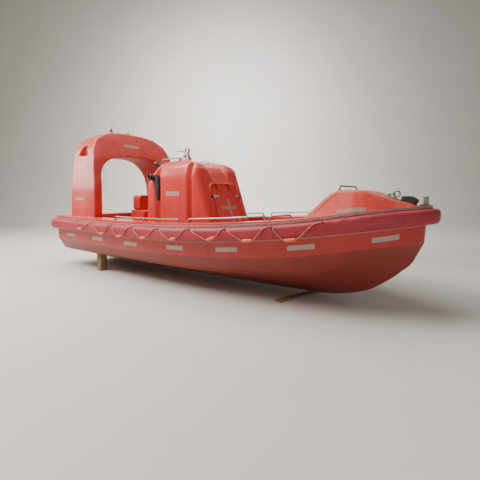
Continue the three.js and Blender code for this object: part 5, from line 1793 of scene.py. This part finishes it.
def make_cross():
    tree = tree_of(lid)
    up, toward = Vector(on_hatch((0, 1, 0))) - HATCH_CENTRE, HATCH_CENTRE - Vector(on_hatch((0, 0, 1)))
    level = sheet_on(tree, on_hatch((3, 14, 0)), (0, 1, 0), up, 374, 50, toward)
    tall = sheet_on(tree, on_hatch((20, -44, 0)), up, (0, -1, 0), 400, 50, toward, lift=2.0)
    piece("hatch_cross", together([level, tall]), TAPE, "white_paint", "hatch", 60)


make_hull_tapes()
make_upper_tapes()
make_cross()

# %% [markdown]
# The rails are bent from one length of polished tube with welded feet. A tube follows a path with rounded
# corners, a middle post stands under the long ones, and a small round flange covers each foot. The
# feet end on whatever they stand on, which a ray finds.

# %% Rails
TUBE_R, POST_R, FLANGE_R, HOOP_FLANGE_R = 11, 9, 24, 30
RAIL_INSET, RAIL_BEND, RAIL_STATION, FOOT_SHIFT = 55, 40, 110, 12
# first x, last x, x of the middle post and height over the deck
GUNWALE_RAILS = ((1865, 3240, 2540, 52), (3420, 4500, 4190, 54), (4570, 4795, None, 50))
# x of the feet, how far they are off the centre line, and z of the top
CONSOLE_RAIL, TRUNK_RAIL = (2140, 2560, 345, 1896), (5135, 300, 1410)


def flange(x, y, z, radius):
    return turned((x, y, z - 2), UP, ((0, radius), (4.5, radius), (6, radius - 2), (7, TUBE_R + 1),
                                      (11, TUBE_R + 0.3), (11, 2)), 24)


def make_rail(name, shapes):
    piece(name + "_tube", together(shapes), STAINLESS, "stainless", hard_angle=45, stands_for=(name,))


def make_gunwale_rail(name, row, side):
    first, last, middle, height = row
    stations = np.linspace(first, last, max(round((last - first) / RAIL_STATION), 3))
    top = [(*sheer_point(x, -RAIL_INSET, side), deck_z(x) + height) for x in stations]
    feet = [(*sheer_point(x + shift, -RAIL_INSET, side), deck_z(x))
            for x, shift in ((first, -FOOT_SHIFT), (last, FOOT_SHIFT))]
    shapes = [tube(bent([feet[0], *top, feet[1]], RAIL_BEND), TUBE_R)]
    if middle:
        x, y, z = (*sheer_point(middle, -RAIL_INSET, side), deck_z(middle))
        feet.append((x, y, z))
        shapes.append(rod((x, y, z), (x, y, z + height), POST_R))
    make_rail(name, shapes + [flange(*foot, FLANGE_R) for foot in feet])


def make_hoop(name, start, end, top_z, carrier):
    tree = tree_of(carrier)
    feet = [landing(tree, (*spot, top_z + 100), DOWN)[0] for spot in (start, end)]
    path = bent([feet[0], (*start, top_z), (*end, top_z), feet[1]], RAIL_BEND, 12)
    make_rail(name, [tube(path, TUBE_R)] + [flange(*foot, HOOP_FLANGE_R) for foot in feet])


for side_name, side_sign in SIDES:
    for number, rail_row in enumerate(GUNWALE_RAILS, 1):
        make_gunwale_rail(f"gunwale_rail_{side_name}_{number}", rail_row, side_sign)
    aft_x, fore_x, half, top_z = CONSOLE_RAIL
    off = side_sign * half
    make_hoop("console_rail_" + side_name, (aft_x, off), (fore_x, off), top_z, console)
trunk_x, half, top_z = TRUNK_RAIL
make_hoop("trunk_rail", (trunk_x, -half), (trunk_x, half), top_z, trunk)

# %% [markdown]
# The trunk has a moulded bead that runs up its flank, a hand's width before the aft edge, and over its top.
# Rays find the path on the finished skin, and a thin tube half sunk in it gives the bead.

# %% Bead on the trunk
BEAD_R, BEAD_STEP = 5, 14
BEAD_FORWARD = 72
BEAD_FLANK, BEAD_TOP = (1120, 1325), (-340, 340)


def make_trunk_bead():
    tree = tree_of(trunk)
    places = [row[0] + BEAD_FORWARD for row in TRUNK_STATIONS[:5]]
    heights = [row[3] for row in TRUNK_STATIONS[:5]]
    flank = [landing(tree, (float(np.interp(z, heights, places)), -950, z), (0, 1, 0))[0]
             for z in np.linspace(*BEAD_FLANK, 12)]
    top = [landing(tree, (places[-1], y, 1500), DOWN)[0] for y in np.linspace(*BEAD_TOP, 18)]
    across = [Vector((p.x, -p.y, p.z)) for p in reversed(flank)]
    path = smooth_path(flank + top + across, BEAD_STEP)
    piece("trunk_bead", tube(path, BEAD_R, 10, BEAD_R), FOREDECK_LIT_COAT, "gelcoat", hard_angle=60)


make_trunk_bead()

# %% [markdown]
# On the arch stand a small all-round light and a mushroom vent. Both are turned shapes. The light has a
# moulded pad, a dark collar, a clear dome and the lamp that shows through it.

# %% Arch light and vent
LIGHT_X, LIGHT_Y, VENT_X = 650, -300, 740
# name, place of the foot, rows of height and radius, finish, slot, hard edge's angle, solid
ARCH_FITTINGS = (
    ("arch_light_pad", (LIGHT_X, LIGHT_Y, 2430), ((0, 88), (64, 84), (76, 74), (82, 52), (82, 2)),
     GELCOAT, "gelcoat", 40, ("arch_light",)),
    ("arch_light_collar", (LIGHT_X, LIGHT_Y, 2512), ((0, 33), (36, 33), (40, 30), (40, 2)),
     BLACK_PLASTIC, "black_plastic", 40, ()),
    ("arch_light_dome", (LIGHT_X, LIGHT_Y, 2551),
     ((0, 28), (24, 31), (44, 31), (62, 27), (73, 18), (79, 8), (80, 0.5)), CLEAR_CAP, "clear_cap", 50, ()),
    ("arch_light_lamp", (LIGHT_X, LIGHT_Y, 2556), ((0, 12), (12, 12), (14, 8), (34, 9), (42, 6), (45, 1)),
     WHITE_PAINT, "white_paint", 40, ()),
    ("arch_vent_cap", (VENT_X, 0, 2440),
     ((0, 40), (52, 40), (54, 56), (60, 58), (70, 56), (82, 46), (89, 28), (90, 2)),
     GELCOAT, "gelcoat", 40, ("arch_vent",)),
)

for name, foot, profile, finish, slot, hard_angle, solid in ARCH_FITTINGS:
    piece(name, turned(foot, UP, profile), finish, slot, hard_angle=hard_angle, stands_for=solid)

# %% [markdown]
# The front hatch hangs on two barrel hinges at its top and closes with two lever latches. The ears and the
# keepers belong to the console, and the barrels, straps and levers to the lid, so they swing with it.

# %% Hatch hinges and latches
HINGE_SIDES, HINGE_UP, HINGE_OUT, HINGE_R, HINGE_HALF = (-150, 150), 387, 28, 10, 30
LEVER_ACROSS, LEVER_UP = 285, 190
LEVER_BOSS = ((0, 26), (8, 26), (10, 16), (26, 15), (28, 19), (36, 19), (38, 15), (38, 2))
# across from the hatch's middle, up from the boss, corner's radius
LEVER_BAR = ((299, -12, 6), (299, 12, 6), (200, 9, 8), (200, -7, 8))
KEEPER = ((322, -20, 5), (350, -20, 5), (350, 20, 5), (322, 20, 5))
BAR_LEVELS, KEEPER_LEVELS = (33, 42), (8, 34)


def make_hinges():
    ears, barrels = [], []
    for across in HINGE_SIDES:
        left, right = across - HINGE_HALF, across + HINGE_HALF
        barrels.append(rod((left, HINGE_UP, HINGE_OUT), (right, HINGE_UP, HINGE_OUT), HINGE_R, edge=1.5))
        barrels.append(box_shape((left, right), (HINGE_UP - 72, HINGE_UP), (26, 31)))
        barrels.append(box_shape((left, right), (HINGE_UP - 74, HINGE_UP - 36), (11, 27)))
        for way in (-1, 1):
            low, high = sorted((across + way * 30.5, across + way * 40))
            ears.append(rod((low, HINGE_UP, HINGE_OUT), (high, HINGE_UP, HINGE_OUT), HINGE_R, edge=1))
            ears.append(box_shape((low, high), (HINGE_UP - 9, HINGE_UP + 9), (2, HINGE_OUT)))
    piece("hatch_hinge_ears", hatch_shape(together(ears)), GELCOAT, "gelcoat")
    piece("hatch_hinge_barrels", hatch_shape(together(barrels)), GELCOAT, "gelcoat", "hatch")


def make_latches():
    levers, keepers = [], []
    for way in (-1, 1):
        levers.append(turned((way * LEVER_ACROSS, LEVER_UP, 6), UP, LEVER_BOSS))
        bar, keep = ([[way * across, LEVER_UP + up, corner] for across, up, corner in rows]
                     for rows in (LEVER_BAR, KEEPER))
        levers.append(prism("z", rounded(bar), *BAR_LEVELS))
        keepers.append(prism("z", rounded(keep), *KEEPER_LEVELS))
    piece("hatch_levers", hatch_shape(together(levers)), WHITE_PAINT, "white_paint", "hatch")
    piece("hatch_keepers", hatch_shape(together(keepers)), BLACK_PLASTIC, "black_plastic")


make_hinges()
make_latches()

# %% [markdown]
# The lifting hook carries the whole boat. Two painted cheeks stand on a plate, a pin passes through them,
# and above it are the hook's round eye and the release lever that points aft. The cheeks are the solid's
# own, with broken edges and bolts. The eye is made anew, because roundness shows there.

# %% Lifting hook
HOOK_EYE, EYE_R, EYE_WIRE_R = (2365, 0, 2058), 43, 25
HOOK_PIN, PIN_HALF, PIN_R = (2365, 1968), 49, 17
# x and z of the smaller pins through the cheeks
CROSS_PINS, CROSS_HALF, CROSS_R = ((2236, 1840), (2410, 1840), (2262, 1930), (2330, 1895)), 44, 10
HOOK_SHANK, SHANK_HALF = [[2330, 1932, 10], [2400, 1932, 10], [2392, 2024], [2338, 2024]], 19
HOOK_CATCH, CATCH_HALF = [[2296, 2030, 6], [2340, 2024, 6], [2340, 2072, 6], [2300, 2078, 6]], 14
HOOK_LEVER, HOOK_LEVER_R = [(2330, 0, 2050), (2230, 0, 2060), (2134, 0, 2060)], 8


def make_hook():
    trimmed_copy("hook_cheeks", "hook_bracket", WHITE_PAINT, "white_paint", 3)
    x, z = HOOK_PIN
    pins = [rod((x, -PIN_HALF, z), (x, PIN_HALF, z), PIN_R, edge=2)]
    pins += [rod((x, -CROSS_HALF, z), (x, CROSS_HALF, z), CROSS_R, edge=1) for x, z in CROSS_PINS]
    piece("hook_pins", together(pins), BLACK_PLASTIC, "black_plastic")
    shank = prism("y", rounded(HOOK_SHANK), -SHANK_HALF, SHANK_HALF)
    eye = ring_shape(HOOK_EYE, (0, 1, 0), EYE_R, EYE_WIRE_R, 48, 18)
    catch = prism("y", rounded(HOOK_CATCH), -CATCH_HALF, CATCH_HALF)
    lever = tube(bent(HOOK_LEVER, 60), HOOK_LEVER_R, 16, 6)
    piece("hook_eye", together([shank, eye, catch]), WHITE_PAINT, "white_paint", stands_for=("lifting_hook",))
    piece("hook_lever", lever, BRASS, "stainless")


make_hook()

# %% [markdown]
# The helm is on the console's aft side, which a view from behind shows: a sloping panel with three
# instruments and a row of switches, the wheel on its column, and the engine lever. The wheel rides
# on its own body. Instruments are a bezel, a dial and a needle, with plain ticks and no words.

# %% Helm
HELM_PLACE = Vector((2034, 0, 1600))
HELM_SLOPE = math.atan2(180, 148)
WHEEL_CENTRE = Vector((1838, 0, 1360))
WHEEL_LEAN = math.radians(12)
WHEEL_RIM, RIM_R = 190, 13
WHEEL_HUB = ((0, 6), (2, 30), (6, 36), (12, 38), (65, 38), (65, 3))
SPOKES_AT = (90, 210, 330)
# across and radius of each instrument, and where the switches are
INSTRUMENTS, DIAL_UP = ((-130, 46), (0, 52), (130, 46)), 8
SWITCHES, SWITCH_UP = (-200, -65, 65, 200), -42
SWITCH_COLLAR = ((0, 12), (4, 12), (5, 8), (6, 8), (6, 1))
TICKS_AT, PANEL_FACE = range(-120, 121, 30), 13


def on_helm(point):
    """From the panel's own plane (across, up the slope, out of it) to the boat."""
    across, up, out = point
    run, rise = math.sin(HELM_SLOPE), math.cos(HELM_SLOPE)
    return (HELM_PLACE.x + rise * up - run * out, across, HELM_PLACE.z + run * up + rise * out)


def on_helm_shape(shapes):
    verts, faces = together(shapes)
    return [on_helm(p) for p in verts], faces


def make_helm():
    trimmed_copy("helm_panel_plate", "helm_panel", BLACK_PLASTIC, "black_plastic", 3)
    bezels, dials, marks, switches = [], [], [], []
    for across, radius in INSTRUMENTS:
        foot = (across, DIAL_UP, PANEL_FACE)
        bezels.append(turned(foot, UP, ((0, radius), (7, radius), (9, radius - 3), (9, radius - 7),
                                        (4, radius - 8), (4, radius - 10))))
        dials.append(turned(foot, UP, ((0, radius - 6), (4.4, radius - 6), (4.4, 1))))
        for degrees in TICKS_AT:
            a = math.radians(90 - degrees)
            tick = [(across + math.cos(a) * r, DIAL_UP + math.sin(a) * r, 18)
                    for r in (radius - 17, radius - 11)]
            marks.append(rod(*tick, 0.9, sides=6))
        needle_end = (across - radius * 0.45, DIAL_UP - radius * 0.3, 18.5)
        marks.append(rod((across, DIAL_UP, 18.5), needle_end, 1.6, 0.6, 8))
    for across in SWITCHES:
        switches.append(turned((across, SWITCH_UP, PANEL_FACE), UP, SWITCH_COLLAR))
        switches.append(rod((across, SWITCH_UP, 18), (across, SWITCH_UP + 6, 32), 3, 4, 12))
    piece("helm_bezels", on_helm_shape(bezels), STAINLESS, "stainless", hard_angle=30)
    piece("helm_dials", on_helm_shape(dials), BLACK_PLASTIC, "black_plastic")
    piece("helm_marks", on_helm_shape(marks), WHITE_PAINT, "white_paint")
    piece("helm_switches", on_helm_shape(switches), STAINLESS, "stainless")


def make_wheel():
    lean = Vector((math.cos(WHEEL_LEAN), 0, -math.sin(WHEEL_LEAN)))
    up = Vector((math.sin(WHEEL_LEAN), 0, math.cos(WHEEL_LEAN)))
    rim = ring_shape(WHEEL_CENTRE, lean, WHEEL_RIM, RIM_R, 64, 16)
    arms = [turned(WHEEL_CENTRE - lean * 20, lean, WHEEL_HUB)]
    for degrees in SPOKES_AT:
        a = math.radians(degrees)
        end = WHEEL_CENTRE + Vector((0, math.cos(a) * WHEEL_RIM, 0)) + up * (math.sin(a) * WHEEL_RIM)
        arms.append(rod(WHEEL_CENTRE + (end - WHEEL_CENTRE) * 0.15, end, 12, 9, 16))
    piece("wheel_rim", rim, BLACK_RUBBER, "black_rubber", "wheel", stands_for=("steering_wheel",))
    piece("wheel_spokes", together(arms), STAINLESS, "stainless", "wheel")


make_helm()
make_wheel()
trimmed_copy("wheel_column", "steering_column", BLACK_PLASTIC, "black_plastic", 4)
trimmed_copy("engine_lever", "throttle", BLACK_PLASTIC, "black_plastic", 3)

# %% [markdown]
# At the console's aft groove on each side sits a rubber air cowl: a round bell with a rolled lip, and a duct
# that bends down the groove. A small lamp on an arm stands above the starboard one.

# %% Air cowls and deck lamp
COWL_MOUTH, COWL_THROAT = Vector((2105, -600, 1598)), Vector((2150, -490, 1585))
# x, z and half width of the duct's sections
COWL_DUCT = ((2172, 1630, 50), (2198, 1545, 60), (2212, 1420, 56), (2215, 1300, 40), (2212, 1222, 20))
COWL_DUCT_Y, COWL_FLATNESS = -505, 0.7
LAMP_FACE, LAMP_AIM = (2016, -380, 1833.6), (-0.992, 0, 0.124)
LAMP_GLASS = ((0, 33), (3, 33), (7, 28), (10, 18), (11, 2))


def cowl_shape():
    out = (COWL_MOUTH - COWL_THROAT).normalized()
    deep = (COWL_MOUTH - COWL_THROAT).length
    bell = turned(COWL_THROAT - out * 20, out,
                  ((0, 30), (10, 44), (deep * 0.5, 47), (deep, 51), (deep + 14, 57), (deep + 19, 57),
                   (deep + 20, 54), (deep + 14, 46), (deep * 0.55, 38), (deep * 0.5, 2)), 36)
    rings = []
    for x, z, half in COWL_DUCT:
        rings.append([(x + math.cos(a) * half, COWL_DUCT_Y + math.sin(a) * half * COWL_FLATNESS, z)
                      for a in np.linspace(0, 2 * math.pi, 24, endpoint=False)])
    return together([bell, skin(rings)])


for side_name, side_sign in SIDES:
    shape = cowl_shape() if side_sign < 0 else other_side(cowl_shape())
    piece("air_cowl_bell_" + side_name, shape, BLACK_RUBBER, "black_rubber", hard_angle=50,
          stands_for=("air_cowl_" + side_name,))
clip = ring_shape(COWL_MOUTH - (COWL_MOUTH - COWL_THROAT) * 0.1, COWL_MOUTH - COWL_THROAT, 53, 4, 48, 10)
piece("air_cowl_clips", both_sides(clip), STAINLESS, "stainless")
trimmed_copy("deck_lamp", "deck_light", BLACK_PLASTIC, "black_plastic", 2)
piece("deck_lamp_glass", turned(LAMP_FACE, LAMP_AIM, LAMP_GLASS), CLEAR_CAP, "clear_cap", hard_angle=50)

# %% [markdown]
# Behind the wheel stands a moulded seat with a padded backrest in red vinyl. The pad is a rounded block,
# crowned by pushing its middle out, with the tension of the cover in a low noise. Piping follows its
# front and back edges. Aft of it is the engine box, with a rubber seal under its lid and four latches.

# %% Seat and engine box
BACKREST = ((1360, 1532), (-344, 344), (1051, 1312))
PIPING_R = 4
# metres from the pad's middle to where its crown ends, across and up; heights of the crown and its seam
CROWN_HALF, CROWN_HALF_UP, CROWN_HIGH, CROWN_SINK = 0.33, 0.125, 0.006, 0.009
SEAM_WIDE, SEAM_DEEP, WRINKLE_HIGH = 0.006, 0.006, 0.0016
ENGINE_BOX = [[500, -380, 60], [1279.7, -380, 60], [1279.7, 380, 60], [500, 380, 60]]
SEAL_LOW, SEAL_HIGH, SEAL_OUT = 770, 778, 3
BOX_LATCHES_X = (680, 1100)


def make_backrest():
    (x0, x1), (y0, y1), (z0, z1) = BACKREST
    front = rounded([[y0, z0, 40], [y1, z0, 40], [y1, z1, 60], [y0, z1, 60]])
    obj = rough(prism("x", front, x0, x1))
    soften(obj, voxel_mm=11, rounds=9)
    obj.name = "backrest_pad"
    middle = Vector(place(((x0 + x1) / 2, 0, (z0 + z1) / 2)))
    for vertex in obj.data.vertices:
        off = vertex.co - middle
        crown = max(0, 1 - (off.y / CROWN_HALF) ** 2) * max(0, 1 - (off.z / CROWN_HALF_UP) ** 2)
        wrinkle = noise.fractal(vertex.co * 9, 1.0, 2.0, 3) * WRINKLE_HIGH
        seam = nearness(off.y, 0, SEAM_WIDE) * SEAM_DEEP
        vertex.co.x += math.copysign(CROWN_HIGH * crown + wrinkle - CROWN_SINK - seam, off.x)
    dress(obj, SEAT_VINYL, "fender_cover", hard_angle=70, stands_for=("seat_back",))
    loop = rounded([[y0 + 5, z0 + 6, 42], [y1 - 5, z0 + 6, 42], [y1 - 5, z1 - 5, 60], [y0 + 5, z1 - 5, 60]])
    piping = [tube([(x, y, z) for y, z in [*loop, loop[0]]], PIPING_R, 10) for x in (x0 + 16, x1 - 16)]
    piece("backrest_piping", together(piping), SEAT_VINYL, "fender_cover", hard_angle=60)


def band_shape(outline, low, high, grow):
    """A band round an outline of x and y, its edges rounded."""
    section = ((low, 0), (low + 1, grow), (high - 1, grow), (high, 0))
    centre = Vector((sum(p[0] for p in outline), sum(p[1] for p in outline))) / len(outline)
    loops = []
    for z, out in section:
        loops.append([(*(Vector(p) + (Vector(p) - centre).normalized() * out), z) for p in outline])
    return skin(loops)


def make_engine_box():
    trimmed_copy("engine_box_moulding", "engine_box", GELCOAT, "gelcoat", 6, 3)
    seal = band_shape(rounded(ENGINE_BOX), SEAL_LOW, SEAL_HIGH, SEAL_OUT)
    piece("engine_box_seal", seal, BLACK_RUBBER, "black_rubber")
    latches = []
    for x in BOX_LATCHES_X:
        for side in (1, -1):
            y = sorted((side * 378, side * 388))
            latches.append(box_shape((x - 16, x + 16), y, (740, 768)))
            latches.append(rod((x - 18, side * 387, 765), (x + 18, side * 387, 765), 5, edge=1))
            latches.append(box_shape((x - 11, x + 11), sorted((side * 378, side * 390)), (765, 800)))
    piece("engine_box_latches", together(latches), STAINLESS, "stainless")


make_backrest()
trimmed_copy("seat_moulding", "seat_base", GELCOAT, "gelcoat", 8, 3)
make_engine_box()

# %% [markdown]
# Bow fittings: a galvanised plate with a shackle and ring, a rubber pad that a line can run over, and a
# bollard on a bolted base. Round parts are turned or swept anew, the rest are the solids with broken edges.

# %% Bow fittings
BOLLARD_X = 5990
BOLLARD = ((0, 36), (30, 36), (33, 27), (112, 26), (113, 29), (124, 29), (127.5, 26), (128, 2))
BOW_PAD = [[5744, 1150], [5750, 1292, 16], [5850, 1292, 40], [5912, 1254, 30], [5914, 1226, 14],
           [5884, 1196, 20], [5872, 1150]]
BOW_PAD_HALF = 70
BOLLARD_PLATE = [[5930, -46, 12], [6034, -30, 12], [6034, 30, 12], [5930, 46, 12]]
PLATE_SINK, PLATE_RISE = 4, 9
MOORING_RING, MOORING_R, MOORING_WIRE_R = (5692, 0, 1318), 34, 9.5


def make_bow_fittings():
    trimmed_copy("bow_plate_and_shackle", "bow_ring_plate", GALVANISED, "stainless", 1.5)
    ring = ring_shape(MOORING_RING, (0, 1, 0), MOORING_R, MOORING_WIRE_R, 48, 16)
    piece("mooring_ring", ring, GALVANISED, "stainless", stands_for=("bow_ring",))
    pad = rough(prism("y", rounded(BOW_PAD), -BOW_PAD_HALF, BOW_PAD_HALF))
    moulded("bow_fairing_pad", pad, voxel_mm=6, rounds=5, finish=BLACK_RUBBER, slot="black_rubber",
            stands_for="bow_pad")
    piece("bollard", turned((BOLLARD_X, 0, 1160), UP, BOLLARD), GALVANISED, "grey_paint", hard_angle=30,
          stands_for=("bow_bollard",))
    deck_top = deck_z(BOLLARD_X)
    plate = prism("z", rounded(BOLLARD_PLATE), deck_top - PLATE_SINK, deck_top + PLATE_RISE)
    piece("bollard_base", plate, BLACK_RUBBER, "black_rubber")


make_bow_fittings()

# %% [markdown]
# The water jet hangs at the transom: a cast housing, a steering nozzle and the bucket that turns the stream
# forward. They are the solids with the small radii of a casting, and a ring of bolts on the flange.
# The timber under the boat is old and grey, so it only needs broken edges and its grain.

# %% Water jet and timber
JET_Z = 300
BOLT_FACE_X, BOLT_CIRCLE_R = 60, 120


def make_jet():
    trimmed_copy("jet_casting", "jet_housing", CAST_ALLOY, "cast_alloy", 2.5)
    trimmed_copy("jet_steering_nozzle", "jet_nozzle", CAST_ALLOY, "cast_alloy", 2, body="nozzle")
    trimmed_copy("jet_bucket", "reverse_bucket", CAST_ALLOY, "cast_alloy", 2.5, body="bucket")
    path = []
    for a in np.linspace(0, 2 * math.pi, 49):
        y, z = math.cos(a), math.sin(a)
        path.append(((BOLT_FACE_X, y * BOLT_CIRCLE_R, JET_Z + z * BOLT_CIRCLE_R), (0, y, z)))
    fastener_row("jet_bolts", [path], STAINLESS, "stainless", spacing=94, head_radius=9, head_height=9)


make_jet()
for side_name, _ in SIDES:
    trimmed_copy("timber_post_" + side_name, "stern_post_" + side_name, TIMBER, "timber", 5)
trimmed_copy("timber_plank", "bow_sleeper", TIMBER, "timber", 2)
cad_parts["engine_block"].data.materials[0] = ENGINE_PAINT
